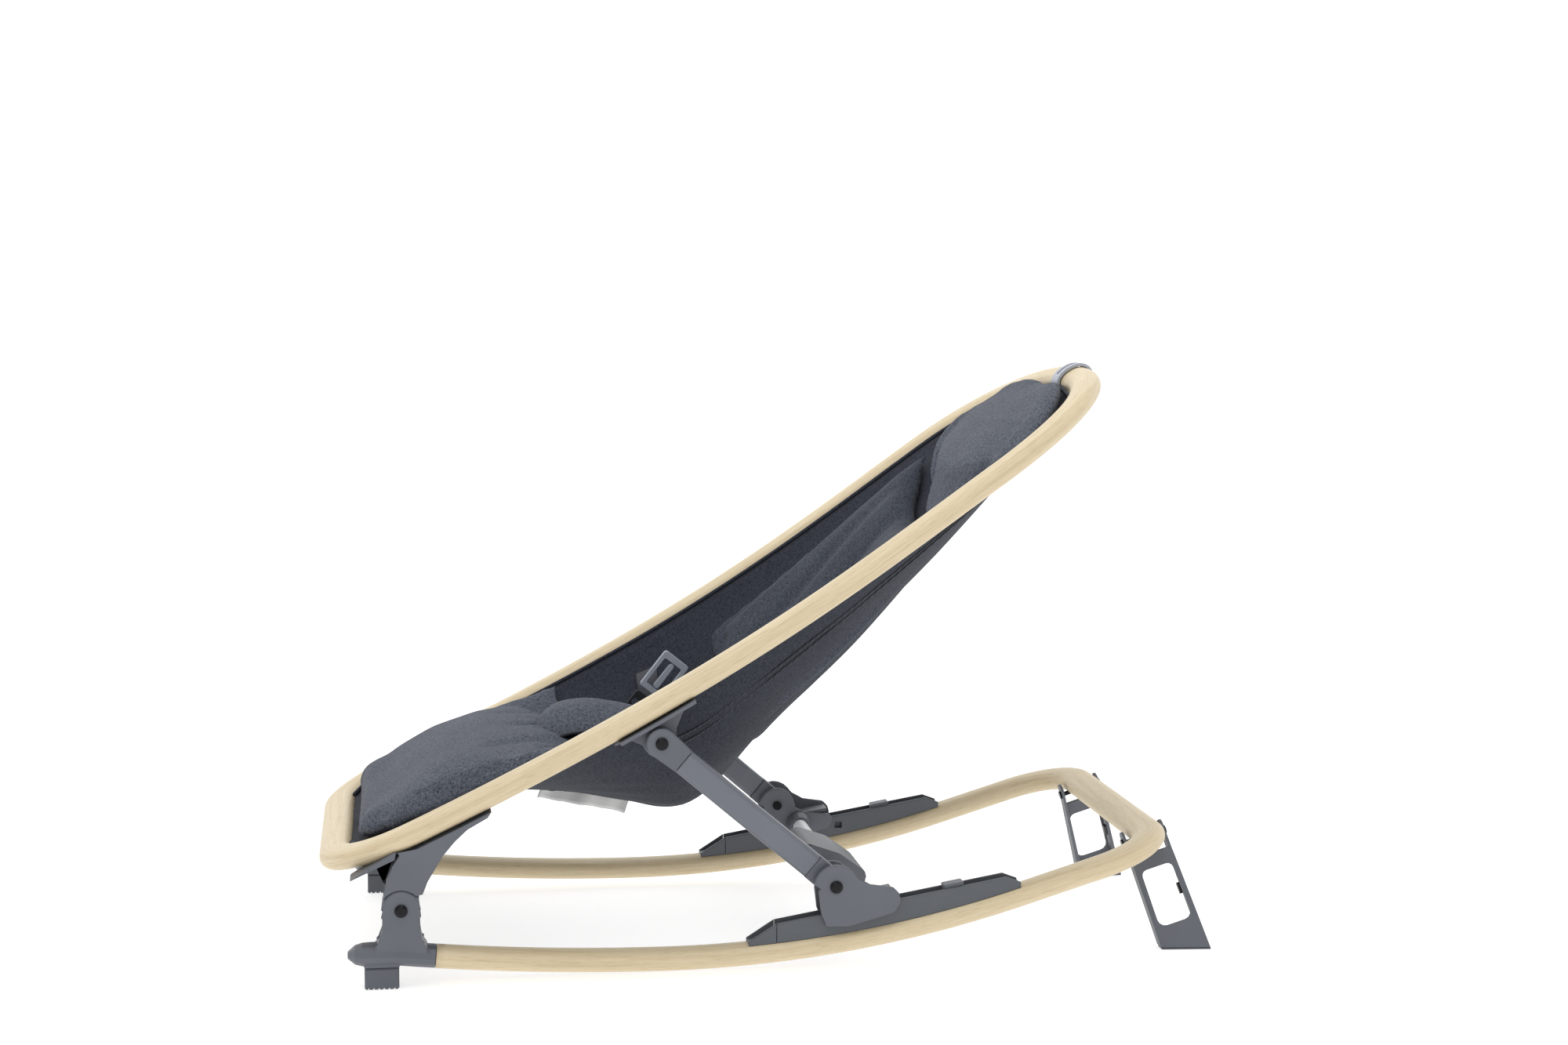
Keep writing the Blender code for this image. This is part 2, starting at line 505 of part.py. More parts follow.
def build_carriage():
    cx, cz = HINGE_C
    for side, tag in ((-1, "left"), (1, "right")):
        outline = rounded(SHOE, 0.003, 3)[:-4] + [Vector((0.4855, 0.0985))]
        outline += [Vector(p) for p in arc((cx, cz), 0.0222, 22, 174, 9)]
        y0, y1 = span(side, 0.2236, 0.2280)
        outer = put("shoe_outer_" + tag, prism(outline, y0, y1, 0.0012), "grey_plastic", (cx, 0, cz))
        # roof behind the strut: it rides well above the channel and its stop
        roof = [(0.4945, 0.0776), (0.5215, 0.0823), (0.5222, 0.0857), (0.4945, 0.0812)]
        r0, r1 = span(side, 0.1968, 0.2240)
        hull = put("scratch", prism(roof, r0, r1), "grey_plastic")
        union(outer, hull)
        i0, i1 = span(side, 0.1920, 0.1964)
        low = rounded(SHOE[:6] + [(0.5235, 0.0800, 0.006), (0.4985, 0.0815, 0.006), (0.4850, 0.0880, 0.004)],
                      0.003, 2) + [Vector(p) for p in arc((cx, cz), 0.0200, 6, 174, 9)]
        inner = put("shoe_inner_" + tag, prism(low, i0, i1, 0.0012), "grey_plastic", (cx, 0, cz))
        collar = put("scratch", lathe([(0, 0.0150), (0.006, 0.0136), (0.012, 0.0118), (0.0155, 0.0112)],
                                      (CROSS_X, side * 0.1925, CROSS_Z), (0, -side, 0), 14), "grey_plastic")
        union(inner, collar)
        h0 = min(side * 0.170, side * 0.240)
        bore = put("scratch", lathe([(0, CROSS_R + 0.0003), (0.0193, CROSS_R + 0.0003)],
                                    (CROSS_X, side * 0.1700, CROSS_Z), (0, side, 0)), "grey_plastic")
        for piece in (outer, inner):
            drill = put("scratch", lathe([(0, BOLT_R + 0.0002), (0.07, BOLT_R + 0.0002)], (cx, h0, cz),
                                         (0, 1, 0)), "grey_plastic")
            cut(piece, drill)
        cut(inner, bore)
        bolt("shoe_bolt_" + tag, cx, cz, side, 0.1920, 0.2280)
        pz = track_top(CROSS_X) - PIN_DEPTH
        guide = put("scratch", lathe([(0, PIN_R + 0.0003), (0.03, PIN_R + 0.0003)],
                                     (CROSS_X, side * 0.1700, pz), (0, side, 0), 12), "grey_plastic")
        cut(inner, guide)
        pin = lathe([(0, 0.0010), (0.0012, PIN_R), (0.0170, PIN_R)], (CROSS_X, side * 0.1982, pz),
                    (0, -side, 0), 12)
        put("lock_pin_" + tag, pin, "black", (CROSS_X, side * 0.1982, pz))
    put("cross_tube", lathe([(0, CROSS_R), (0.3780, CROSS_R)], (CROSS_X, -0.1890, CROSS_Z), (0, 1, 0), 20),
        "light_tube", (cx, 0, cz))


def build_grip():
    """Two-part housing round the cross tube, with a squeeze trigger below and a small button behind."""
    tilt = math.radians(-28)
    c, s = math.cos(tilt), math.sin(tilt)

    def turn(points):
        return [(CROSS_X + x * c - z * s, CROSS_Z + x * s + z * c) + rest for x, z, *rest in
                ((p[0], p[1], *p[2:]) for p in points) for rest in (tuple(rest),)]

    upper = turn([(-0.040, 0.0006, 0.002), (-0.036, 0.013, 0.009), (0.0, 0.0185, 0.02), (0.036, 0.0135, 0.008),
                  (0.040, 0.0006, 0.002)])
    lower = turn([(0.040, -0.0004, 0.002), (0.036, -0.0120, 0.008), (0.0, -0.0150, 0.02),
                  (-0.036, -0.0120, 0.009), (-0.040, -0.0004, 0.002)])
    for name, outline, y in (("grip_upper", upper, 0.047), ("grip_lower", lower, 0.0468)):
        piece = put(name, prism(rounded(outline, 0.002, 4), -y, y, 0.0045), "grey_plastic",
                    (HINGE_C[0], 0, HINGE_C[1]))
        bore = put("scratch", lathe([(0, CROSS_R + 0.0003), (0.12, CROSS_R + 0.0003)], (CROSS_X, -0.06, CROSS_Z),
                                    (0, 1, 0), 20), "grey_plastic")
        cut(piece, bore)
        if name == "grip_lower":
            well = put("scratch", prism(turn([(-0.0300, -0.020), (-0.0300, -0.0090), (-0.0115, -0.0090),
                                              (-0.0115, -0.020)]), -0.0303, 0.0303), "grey_plastic")
            seat = put("scratch", prism(turn([(0.0150, -0.020), (0.0150, -0.0090), (0.0270, -0.0090),
                                              (0.0270, -0.020)]), -0.0093, 0.0093), "grey_plastic")
            cut(piece, well, seat)
    trigger = turn([(-0.0296, -0.0178, 0.003), (-0.0296, -0.0130), (-0.0119, -0.0130), (-0.0119, -0.0178, 0.003)])
    put("release_trigger", prism(rounded(trigger, 0.0, 4), -0.0299, 0.0299, 0.0012), "black",
        (CROSS_X, 0, CROSS_Z))
    button = turn([(0.0154, -0.0172, 0.002), (0.0154, -0.0125), (0.0266, -0.0125), (0.0266, -0.0172, 0.002)])
    put("release_button", prism(rounded(button, 0.0, 4), -0.0089, 0.0089, 0.0010), "black",
        (CROSS_X, 0, CROSS_Z))


# ---------------------------------------------------------------- rear stands
def build_stand(side, tag):
    """Folding channel-shaped leg that straddles the rear crossbar."""
    axis = Vector((math.cos(STAND_TILT), 0, math.sin(STAND_TILT)))
    pin = Vector((BASE_REAR_X, side * STAND_PIN_Y, STAND_PIN_Z))
    down = Vector((math.sin(STAND_TILT), 0, -math.cos(STAND_TILT)))
    down = (down * math.cos(STAND_SPLAY) + Vector((0, side, 0)) * math.sin(STAND_SPLAY)).normalized()
    out = down.cross(axis) * -1
    if out.y * side < 0:
        out = -out
    half, skin, depth, web = 0.0225, 0.0028, 0.0155, 0.0088

    def world(u, v, w):
        return pin + axis * u + down * v + out * w

    def slab(points, w0, w1, rim=0.0):
        bm = prism([(p[0], p[1]) for p in points], w0, w1, rim)
        for v in bm.verts:
            v.co = world(v.co.x, v.co.z, v.co.y)
        return bm

    foot = STAND_LEN
    panel = rounded([(-half, 0.018, 0.006), (half, 0.018, 0.006), (half + 0.0020, foot + 0.01),
                     (-half - 0.0020, foot + 0.01)], 0.0, 3)
    body = put("stand_" + tag, slab(panel, web - depth, web), "grey_plastic", tuple(pin))
    hollow = put("scratch", slab([(-half + skin, 0.010), (half - skin, 0.010), (half - skin, foot - 0.010),
                                  (-half + skin, foot - 0.010)], web - depth - 0.01, web - 0.0026),
                 "grey_plastic")
    window = put("scratch", slab(rounded([(-half + 0.0055, 0.034, 0.006), (half - 0.0055, 0.034, 0.006),
                                          (half - 0.0042, 0.0940, 0.008), (-half + 0.0042, 0.0940, 0.008)],
                                         0.0, 3), web - 0.02, web + 0.01), "grey_plastic")
    cut(body, hollow, window)
    for u in (-1, 1):                               # ears that straddle the crossbar
        ear = rounded([(-0.0075, 0.030), (-0.0075, -0.0115, 0.006), (0.0075, -0.0115, 0.006), (0.0075, 0.030)],
                      0.0, 4)
        bm = prism(ear, u * half - (skin if u > 0 else 0.0) , u * half + (skin if u < 0 else 0.0))
        for v in bm.verts:
            v.co = world(v.co.y, v.co.z, v.co.x * -1.0 + web - depth / 2)
        union(body, put("scratch", bm, "grey_plastic"))
    drill = put("scratch", lathe([(0, 0.0027), (0.08, 0.0027)], tuple(pin - axis * 0.04), tuple(axis), 16),
                "grey_plastic")
    floor = put("scratch", box((0.70, -0.4, -0.05), (0.95, 0.4, FLOOR + 0.0022)), "grey_plastic")
    cut(body, drill, floor)
    # rubber sole cut level with the floor
    sole = put("stand_pad_" + tag, slab([(-half - 0.0012, foot - 0.016), (half + 0.0012, foot - 0.016),
                                         (half + 0.0020, foot + 0.01), (-half - 0.0020, foot + 0.01)],
                                        web - depth + 0.0010, web - 0.0010), "rubber", tuple(pin))
    top = put("scratch", box((0.70, -0.4, FLOOR + 0.0019), (0.95, 0.4, 0.10)), "rubber")
    low = put("scratch", box((0.70, -0.4, -0.10), (0.95, 0.4, FLOOR)), "rubber")
    cut(sole, top, low)
    clip = slab([(half - skin - 0.0035, 0.056), (half - skin - GAP, 0.056), (half - skin - GAP, 0.068),
                 (half - skin - 0.0035, 0.068)], web - depth + 0.0008, web - depth + 0.0060)
    put("stand_clip_" + tag, clip, "black", tuple(pin))
    shank = [(0, 0.0044), (0.0017, 0.0044), (0.0018, 0.0025), (0.0474, 0.0025), (0.0475, 0.0044),
             (0.0492, 0.0044)]
    put("stand_pin_" + tag, lathe(shank, tuple(pin - axis * 0.0246), tuple(axis), 14), "black", tuple(pin))


def bore_crossbar():
    """Holes through the rear crossbar for the stand pins."""
    frame = bpy.data.objects["base_frame"]
    axis = Vector((math.cos(STAND_TILT), 0, math.sin(STAND_TILT)))
    drills = []
    for side in (-1, 1):
        pin = Vector((BASE_REAR_X, side * STAND_PIN_Y, STAND_PIN_Z))
        drills.append(put("scratch", lathe([(0, 0.0027), (0.08, 0.0027)], tuple(pin - axis * 0.04),
                                           tuple(axis), 16), "wood"))
    cut(frame, *drills)


# ---------------------------------------------------------------- soft goods
SLING_DEPTH = ((0.00, 0.000), (0.06, 0.008), (0.14, 0.018), (0.20, 0.034), (0.25, 0.060), (0.30, 0.088),
               (0.36, 0.124), (0.40, 0.150), (0.43, 0.158), (0.47, 0.148), (0.52, 0.132), (0.60, 0.112),
               (0.69, 0.091), (0.78, 0.072), (0.84, 0.056), (0.88, 0.040), (0.94, 0.018), (1.00, 0.003))


def smooth_table(table, s):
    """Smooth interpolation through a short table of driving values."""
    for (a, fa), (b, fb) in zip(table, table[1:]):
        if s <= b:
            t = (s - a) / (b - a)
            return fa + (fb - fa) * t
    return table[-1][1]


def sag(s):
    return sum(smooth_table(SLING_DEPTH, min(max(s + o, 0.0), 1.0)) for o in (-0.02, -0.01, 0, 0.01, 0.02)) / 5


ROWS, COLS = 28, 14                 # the grid that the sling and everything lying on it share
EDGE = 0.0190                       # from the loop's centre line to the sling's edge


def inner_half(d):
    """Half-width of the sling, which follows the inside of the loop."""
    if d < SEAT_CORNER:
        r = SEAT_CORNER - EDGE
        return RAIL_Y - SEAT_CORNER + math.sqrt(max(r * r - (SEAT_CORNER - d) ** 2, 1e-6))
    if d > HEAD_START:
        s = min((d - HEAD_START) / (HEAD_LENGTH - EDGE), 0.985)
        return (RAIL_Y - EDGE - 0.003 * s) * (1 - s ** HEAD_P) ** (1 / HEAD_Q)
    return RAIL_Y - EDGE


def sling_point(row, col, lift=0.0):
    """Point over the sling at a row (feet to head) and a column (left rail to right rail)."""
    s, v = row / ROWS, 2 * col / COLS - 1
    d = EDGE + 0.0015 + (SEAT_LENGTH - 2 * EDGE - 0.004) * s
    p, n = seat_at(d)
    drop = sag(s) * (1 - v * v) ** 0.9
    x = p.x + n.x * (0.0015 + lift) + drop * 0.10
    z = p.y + n.y * (0.0015 + lift) - drop
    return Vector((x, inner_half(d) * v, z))


def skin(rows, cols, lift, thick, puff=0.0, power=4.0):
    """Closed slab that follows the sling's facets; puff swells its middle like a padded panel."""
    bm = bmesh.new()
    grids = []
    nr, nc = rows[1] - rows[0], cols[1] - cols[0]
    for layer in (0, 1):
        grid = []
        for i in range(nr + 1):
            line = []
            for j in range(nc + 1):
                swell = (1 - abs(2 * i / nr - 1) ** power) * (1 - abs(2 * j / nc - 1) ** power)
                height = lift + (thick + puff * swell if layer else 0.0)
                line.append(bm.verts.new(sling_point(rows[0] + i, cols[0] + j, height)))
            grid.append(line)
        grids.append(grid)
    low, high = grids
    for grid in grids:
        for i in range(nr):
            for j in range(nc):
                a, b, c, d = grid[i][j], grid[i][j + 1], grid[i + 1][j + 1], grid[i + 1][j]
                bm.faces.new((a, b, c))
                bm.faces.new((a, c, d))
    rim = [(0, j) for j in range(nc)] + [(i, nc) for i in range(nr)]
    rim += [(nr, j) for j in range(nc, 0, -1)] + [(i, 0) for i in range(nr, 0, -1)]
    for (a, b), (c, d) in zip(rim, rim[1:] + rim[:1]):
        bm.faces.new((low[a][b], low[c][d], high[c][d], high[a][b]))
    return bm


def build_soft():
    pivot = (HINGE_A[0], 0, HINGE_A[1])
    put("sling", skin((0, ROWS), (0, COLS), -0.0030, 0.0030), "fabric", pivot, 1.2)
    put("leg_pad", skin((1, 9), (1, 13), 0.0012, 0.006, 0.034, 2.6), "pad", pivot, 1.2)
    put("body_pad", skin((13, 20), (3, 11), 0.0012, 0.005, 0.016, 4.0), "pad", pivot, 1.2)
    put("head_pillow", skin((21, 27), (2, 12), 0.0012, 0.006, 0.036, 2.6), "pad", pivot, 1.2)
    # padded crotch flap rolled back over the seat
    s0 = sling_point(9.4, COLS / 2, 0.045)
    flap = bmesh.new()
    rings = []
    for k in range(7):
        w = 0.060 * math.sqrt(max(1 - ((k - 3) / 3.4) ** 2, 0.05))
        mid = s0 + Vector((-0.030 + 0.020 * k, 0, 0.044 + 0.004 * k - 0.0016 * (k - 3) ** 2))
        rings.append([flap.verts.new(mid + Vector((0, w * math.cos(2 * math.pi * j / 12),
                                                   0.011 * math.sin(2 * math.pi * j / 12)))) for j in range(12)])
    for a, b in zip(rings, rings[1:]):
        for j in range(12):
            flap.faces.new((a[j], a[(j + 1) % 12], b[(j + 1) % 12], b[j]))
    flap.faces.new(rings[0])
    flap.faces.new(rings[-1])
    put("crotch_flap", flap, "pad", pivot, 1.2)
    # waist belts lie on the sling's sides; the care label hangs under the seat
    put("waist_belt_left", skin((11, 12), (1, 4), 0.0012, 0.0018), "webbing", pivot)
    put("waist_belt_right", skin((11, 12), (10, 13), 0.0012, 0.0018), "webbing", pivot)
    put("care_label", skin((8, 11), (4, 5), -0.0048, 0.0008), "label", pivot)
    build_buckle(pivot)
    build_head_clip(pivot)


def build_buckle(pivot):
    """Clasp frame, its tongue and the strap slider at the far side of the waist."""
    origin = sling_point(11.5, 11.4)
    base = origin + Vector((0.008, 0, 0.062))
    along, across = Vector((0.62, 0.0, 0.78)).normalized(), Vector((0.78, 0.0, -0.62)).normalized()
    normal = along.cross(across)

    def plate(name, outline, t0, t1, slot, hole=None, at=Vector((0, 0, 0))):
        bm = prism(rounded(outline, 0.003, 2), t0, t1, 0.0006)
        for v in bm.verts:
            v.co = base + at + along * v.co.x + across * v.co.z + normal * v.co.y
        piece = put(name, bm, slot, pivot)
        if hole:
            bm = prism(rounded(hole, 0.0015, 1), t0 - 0.01, t1 + 0.01)
            for v in bm.verts:
                v.co = base + at + along * v.co.x + across * v.co.z + normal * v.co.y
            cut(piece, put("scratch", bm, slot, pivot))

    plate("buckle_frame", [(-0.024, -0.0165), (0.024, -0.0165), (0.024, 0.0165), (-0.024, 0.0165)], -0.003, 0.003,
          "light_plastic", [(-0.0175, -0.0118), (0.0165, -0.0118), (0.0165, 0.0118), (-0.0175, 0.0118)])
    plate("buckle_tongue", [(-0.0168, -0.0035), (0.0158, -0.0030), (0.0158, 0.0030), (-0.0168, 0.0035)], -0.0024,
          0.0024, "light_plastic")
    plate("belt_slider", [(-0.0130, -0.0155), (0.0130, -0.0155), (0.0130, 0.0155), (-0.0130, 0.0155)], -0.002,
          0.002, "light_plastic", [(-0.0035, -0.0128), (0.0035, -0.0128), (0.0035, 0.0128), (-0.0035, 0.0128)],
          Vector((-0.026, -0.004, -0.033)))


def build_head_clip(pivot):
    """Band with a slot, hooked over the head crossbar."""
    p, n = seat_at(SEAT_LENGTH - 1e-5)
    tangent = Vector((n.y, -n.x))
    inner = []
    outer = []
    for k in range(17):
        a = math.radians(-62 + 250 * k / 16)
        c, s = math.cos(a), math.sin(a)
        u, v = math.copysign(abs(c) ** 0.89, c), math.copysign(abs(s) ** 0.89, s)
        inner.append(tuple(p + tangent * u * (TUBE_W / 2 + 0.0018) + n * v * (TUBE_T / 2 + 0.0018)))
        outer.append(tuple(p + tangent * u * (TUBE_W / 2 + 0.0044) + n * v * (TUBE_T / 2 + 0.0044)))
    band = put("head_clip", prism(outer + list(reversed(inner)), -0.0135, 0.0135, 0.0007), "light_plastic",
               pivot)
    mid = p + n * (TUBE_T / 2 + 0.002)
    slot = put("scratch", box((mid.x - 0.011, -0.0042, mid.y - 0.0055), (mid.x + 0.009, 0.0042, mid.y + 0.013)),
               "light_plastic")
    cut(band, slot)


# ---------------------------------------------------------------- assembly
build_base_frame()
for hand, word in ((-1, "left"), (1, "right")):
    build_front(hand, word)
    build_track(hand, word)
    build_strut(hand, word)
    build_stand(hand, word)
bore_crossbar()
build_seat_frame()
build_carriage()
build_grip()
build_soft()
for spare in [m for m in bpy.data.meshes if m.users == 0]:
    bpy.data.meshes.remove(spare)
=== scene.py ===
import bpy
import bmesh
import json
import math
import numpy as np
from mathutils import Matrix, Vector, noise


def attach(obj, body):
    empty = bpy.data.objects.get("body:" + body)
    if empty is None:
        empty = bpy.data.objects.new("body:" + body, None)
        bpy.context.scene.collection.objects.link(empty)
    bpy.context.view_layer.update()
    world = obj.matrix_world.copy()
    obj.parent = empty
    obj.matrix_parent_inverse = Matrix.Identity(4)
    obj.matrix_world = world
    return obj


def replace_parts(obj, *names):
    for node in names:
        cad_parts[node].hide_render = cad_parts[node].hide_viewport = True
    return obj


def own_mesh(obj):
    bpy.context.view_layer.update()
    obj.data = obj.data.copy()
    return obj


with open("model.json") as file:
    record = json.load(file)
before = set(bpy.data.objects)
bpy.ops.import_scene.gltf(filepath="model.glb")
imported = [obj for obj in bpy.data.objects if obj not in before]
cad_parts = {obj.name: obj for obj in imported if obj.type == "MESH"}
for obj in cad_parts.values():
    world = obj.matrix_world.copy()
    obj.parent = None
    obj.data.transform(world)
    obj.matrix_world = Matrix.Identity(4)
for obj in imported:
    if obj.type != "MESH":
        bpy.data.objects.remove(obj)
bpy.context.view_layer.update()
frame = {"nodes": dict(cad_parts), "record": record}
SHIFT = Vector((0.40961, 0.0, 0.0028))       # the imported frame's origin, in the drawing frame used below
CAMERA_PLACE = (-0.37856, -2.86575, 0.69880)
CAMERA_LENS, CAMERA_DOWN, CAMERA_TURN = 62.86, 0.09217, 0.14323    # mm, then radians

# ------------------------------------------------------------------ camera, lights, floor
cam = bpy.data.cameras.new("camera")
cam.sensor_width, cam.lens = 36.0, CAMERA_LENS
cam_obj = bpy.data.objects.new("camera", cam)
bpy.context.scene.collection.objects.link(cam_obj)
cam_obj.location = CAMERA_PLACE
cam_obj.rotation_euler = (math.pi / 2 - CAMERA_DOWN, 0.0, -CAMERA_TURN)
bpy.context.scene.camera = cam_obj
bpy.context.scene.view_settings.view_transform = "Standard"
bpy.context.scene.view_settings.look = "None"


def lamp(name, energy, size, loc, target):
    """Square area lamp at loc that faces target."""
    data = bpy.data.lights.new(name, "AREA")
    data.energy = energy
    data.shape = "RECTANGLE"
    data.size = data.size_y = size
    obj = bpy.data.objects.new(name, data)
    bpy.context.scene.collection.objects.link(obj)
    obj.location = loc
    obj.rotation_euler = (Vector(target) - Vector(loc)).to_track_quat("-Z", "Y").to_euler()


lamp("key_top", 30, 2.6, (-0.3, -0.5, 2.6), (0.1, 0, 0.2))
lamp("fill_front", 3, 2.2, (-1.4, -2.6, 1.5), (0, 0, 0.3))
lamp("fill_head", 5, 1.8, (2.4, -0.6, 1.4), (0.1, 0, 0.3))
world = bpy.data.worlds.new("studio")
bpy.context.scene.world = world
world.use_nodes = True
world.node_tree.nodes["Background"].inputs["Color"].default_value = (1, 1, 1, 1)
world.node_tree.nodes["Background"].inputs["Strength"].default_value = 0.62


# ------------------------------------------------------------------ materials
class Net:
    """Small helper to wire procedural node trees."""

    def __init__(self, name):
        self.mat = bpy.data.materials.new(name)
        self.mat.use_nodes = True
        self.tree = self.mat.node_tree
        self.bsdf = self.tree.nodes["Principled BSDF"]

    def node(self, kind, **props):
        made = self.tree.nodes.new(kind)
        for key, value in props.items():
            if key in made.inputs:
                made.inputs[key].default_value = value
            else:
                setattr(made, key, value)
        return made

    def link(self, a, out, b, into):
        self.tree.links.new(a.outputs[out], b.inputs[into])
        return b

    def coords(self, scale, rotation=(0, 0, 0), source="Object"):
        tex = self.node("ShaderNodeTexCoord")
        mapping = self.node("ShaderNodeMapping")
        mapping.inputs["Scale"].default_value = scale
        mapping.inputs["Rotation"].default_value = rotation
        return self.link(tex, source, mapping, "Vector")

    def noise(self, scale, detail=3.0, rough=0.5, mapping=None, distortion=0.0):
        tex = self.node("ShaderNodeTexNoise", Scale=scale, Detail=detail, Roughness=rough,
                        Distortion=distortion)
        return self.link(mapping, "Vector", tex, "Vector") if mapping else tex

    def ramp(self, source, out, stops):
        ramp = self.node("ShaderNodeValToRGB")
        bar = ramp.color_ramp
        while len(bar.elements) < len(stops):
            bar.elements.new(0.5)
        for element, (pos, color) in zip(bar.elements, stops):
            element.position = pos
            element.color = (*color, 1) if len(color) == 3 else color
        self.link(source, out, ramp, "Fac")
        return ramp

    def mix(self, factor, a, b, blend="MIX"):
        """factor, a and b are numbers, colours or (node, socket) pairs."""
        made = self.node("ShaderNodeMix", data_type="RGBA", blend_type=blend)
        for socket, value in ((0, factor), (6, a), (7, b)):
            if isinstance(value, tuple) and len(value) == 2 and hasattr(value[0], "outputs"):
                self.tree.links.new(value[0].outputs[value[1]], made.inputs[socket])
            elif socket == 0:
                made.inputs[0].default_value = value
            else:
                made.inputs[socket].default_value = (*value, 1)
        return made

    def bump(self, source, out, strength, distance, under=None):
        made = self.node("ShaderNodeBump", Strength=strength, Distance=distance)
        self.link(source, out, made, "Height")
        if under:
            self.link(under, "Normal", made, "Normal")
        return made

    def finish(self, color=None, normal=None, rough=None, **values):
        if color:
            self.link(color[0], color[1], self.bsdf, "Base Color")
        if normal:
            self.link(normal, "Normal", self.bsdf, "Normal")
        if rough:
            self.link(rough[0], rough[1], self.bsdf, "Roughness")
        for key, value in values.items():
            self.bsdf.inputs[key.replace("_", " ")].default_value = value
        return self.mat


def wood_material():
    """Pale ash: long soft grain along the tube's U direction, fine pores, satin lacquer."""
    net = Net("pale_wood")
    long = net.coords((2.2, 60.0, 1.0), source="UV")
    bands = net.noise(3.2, 5.0, 0.62, long, 0.5)
    pores_map = net.coords((14.0, 420.0, 1.0), source="UV")
    pores = net.noise(4.0, 3.0, 0.6, pores_map)
    tone = net.ramp(bands, "Fac", [(0.28, (0.560, 0.445, 0.275)), (0.44, (0.650, 0.535, 0.345)),
                                   (0.58, (0.690, 0.578, 0.385)), (0.78, (0.740, 0.640, 0.450))])
    fleck = net.ramp(pores, "Fac", [(0.30, (0.70, 0.62, 0.50)), (0.46, (1, 1, 1)), (1.0, (1, 1, 1))])
    color = net.mix(0.75, (tone, "Color"), (fleck, "Color"), "MULTIPLY")
    fine = net.bump(pores, "Fac", 0.10, 0.0006)
    soft = net.bump(bands, "Fac", 0.06, 0.0010, fine)
    rough = net.ramp(bands, "Fac", [(0.3, (0.42,) * 3), (0.7, (0.52,) * 3)])
    return net.finish((color, 2), soft, (rough, "Color"), Coat_Weight=0.08, Coat_Roughness=0.35)


def plastic_material(name, color, rough=0.46, vary=0.10, edge=0.0012, metallic=0.0, spec=0.5):
    """Moulded plastic or coated metal with a fine spark texture, faint mottling and eased edges."""
    net = Net(name)
    space = net.coords((1, 1, 1))
    grain = net.noise(1400.0, 2.0, 0.5, space)
    cloud = net.noise(9.0, 4.0, 0.55, space)
    low = tuple(c * (1 - vary) for c in color)
    high = tuple(min(c * (1 + vary), 1) for c in color)
    tint = net.ramp(cloud, "Fac", [(0.3, low), (0.7, high)])
    wear = net.ramp(cloud, "Fac", [(0.25, (rough - 0.06,) * 3), (0.75, (rough + 0.07,) * 3)])
    soft = net.node("ShaderNodeBevel", samples=4)
    soft.inputs["Radius"].default_value = edge
    skin = net.bump(grain, "Fac", 0.05, 0.0002, soft)
    return net.finish((tint, "Color"), skin, (wear, "Color"), Metallic=metallic, Specular_IOR_Level=spec)


def fabric_material(name, dark, light, thread=1500.0, lift=0.22, turn=(0, 0, 0)):
    """Melange weave: crossed threads, mottled yarn colour, soft sheen."""
    net = Net(name)
    space = net.coords((1, 1, 1), turn)
    yarn = net.coords((720.0, 240.0, 240.0), turn)
    slub = net.noise(1.0, 3.0, 0.65, yarn)
    yarn_b = net.coords((330.0, 520.0, 520.0), turn)
    slub_b = net.noise(1.0, 2.0, 0.6, yarn_b)
    cloud = net.noise(7.0, 4.0, 0.6, space)
    warp = net.node("ShaderNodeTexWave", wave_type="BANDS", bands_direction="X", Scale=thread / 6.28,
                    Distortion=1.2, Detail=1.0)
    net.link(space, "Vector", warp, "Vector")
    weft = net.node("ShaderNodeTexWave", wave_type="BANDS", bands_direction="Y", Scale=thread / 6.28,
                    Distortion=1.2, Detail=1.0)
    net.link(space, "Vector", weft, "Vector")
    cross = net.mix(0.5, (warp, "Color"), (weft, "Color"))
    yarns = net.mix(0.5, (slub, "Fac"), (slub_b, "Fac"))
    tone = net.ramp(yarns, 2, [(0.34, dark), (0.50, tuple((a + b) / 2 for a, b in zip(dark, light))),
                               (0.68, light)])
    shade = net.ramp(cloud, "Fac", [(0.25, (0.86,) * 3), (0.75, (1.0,) * 3)])
    color = net.mix(1.0, (tone, "Color"), (shade, "Color"), "MULTIPLY")
    weave = net.bump(cross, 2, lift, 0.0004)
    fuzz = net.bump(yarns, 2, 0.35, 0.0006, weave)
    return net.finish((color, 2), fuzz, None, Roughness=0.95, Sheen_Weight=0.06, Sheen_Roughness=0.5,
                      Specular_IOR_Level=0.2)


def webbing_material():
    """Tight ribbed webbing."""
    net = Net("webbing")
    space = net.coords((1, 1, 1), (0, 0.9, 0))
    rib = net.node("ShaderNodeTexWave", wave_type="BANDS", bands_direction="Z", Scale=160.0, Distortion=0.6,
                   Detail=1.0)
    net.link(space, "Vector", rib, "Vector")
    tone = net.ramp(rib, "Color", [(0.2, (0.020, 0.023, 0.030)), (0.8, (0.050, 0.055, 0.070))])
    skin = net.bump(rib, "Color", 0.5, 0.0006)
    return net.finish((tone, "Color"), skin, None, Roughness=0.8, Sheen_Weight=0.15)


def label_material():
    """Blank satin care label with a faint weave."""
    net = Net("blank_label")
    space = net.coords((1, 1, 1))
    cloud = net.noise(30.0, 3.0, 0.5, space)
    grain = net.noise(1800.0, 2.0, 0.5, space)
    tone = net.ramp(cloud, "Fac", [(0.3, (0.74, 0.74, 0.74)), (0.7, (0.86, 0.86, 0.86))])
    skin = net.bump(grain, "Fac", 0.12, 0.0002)
    return net.finish((tone, "Color"), skin, None, Roughness=0.5)


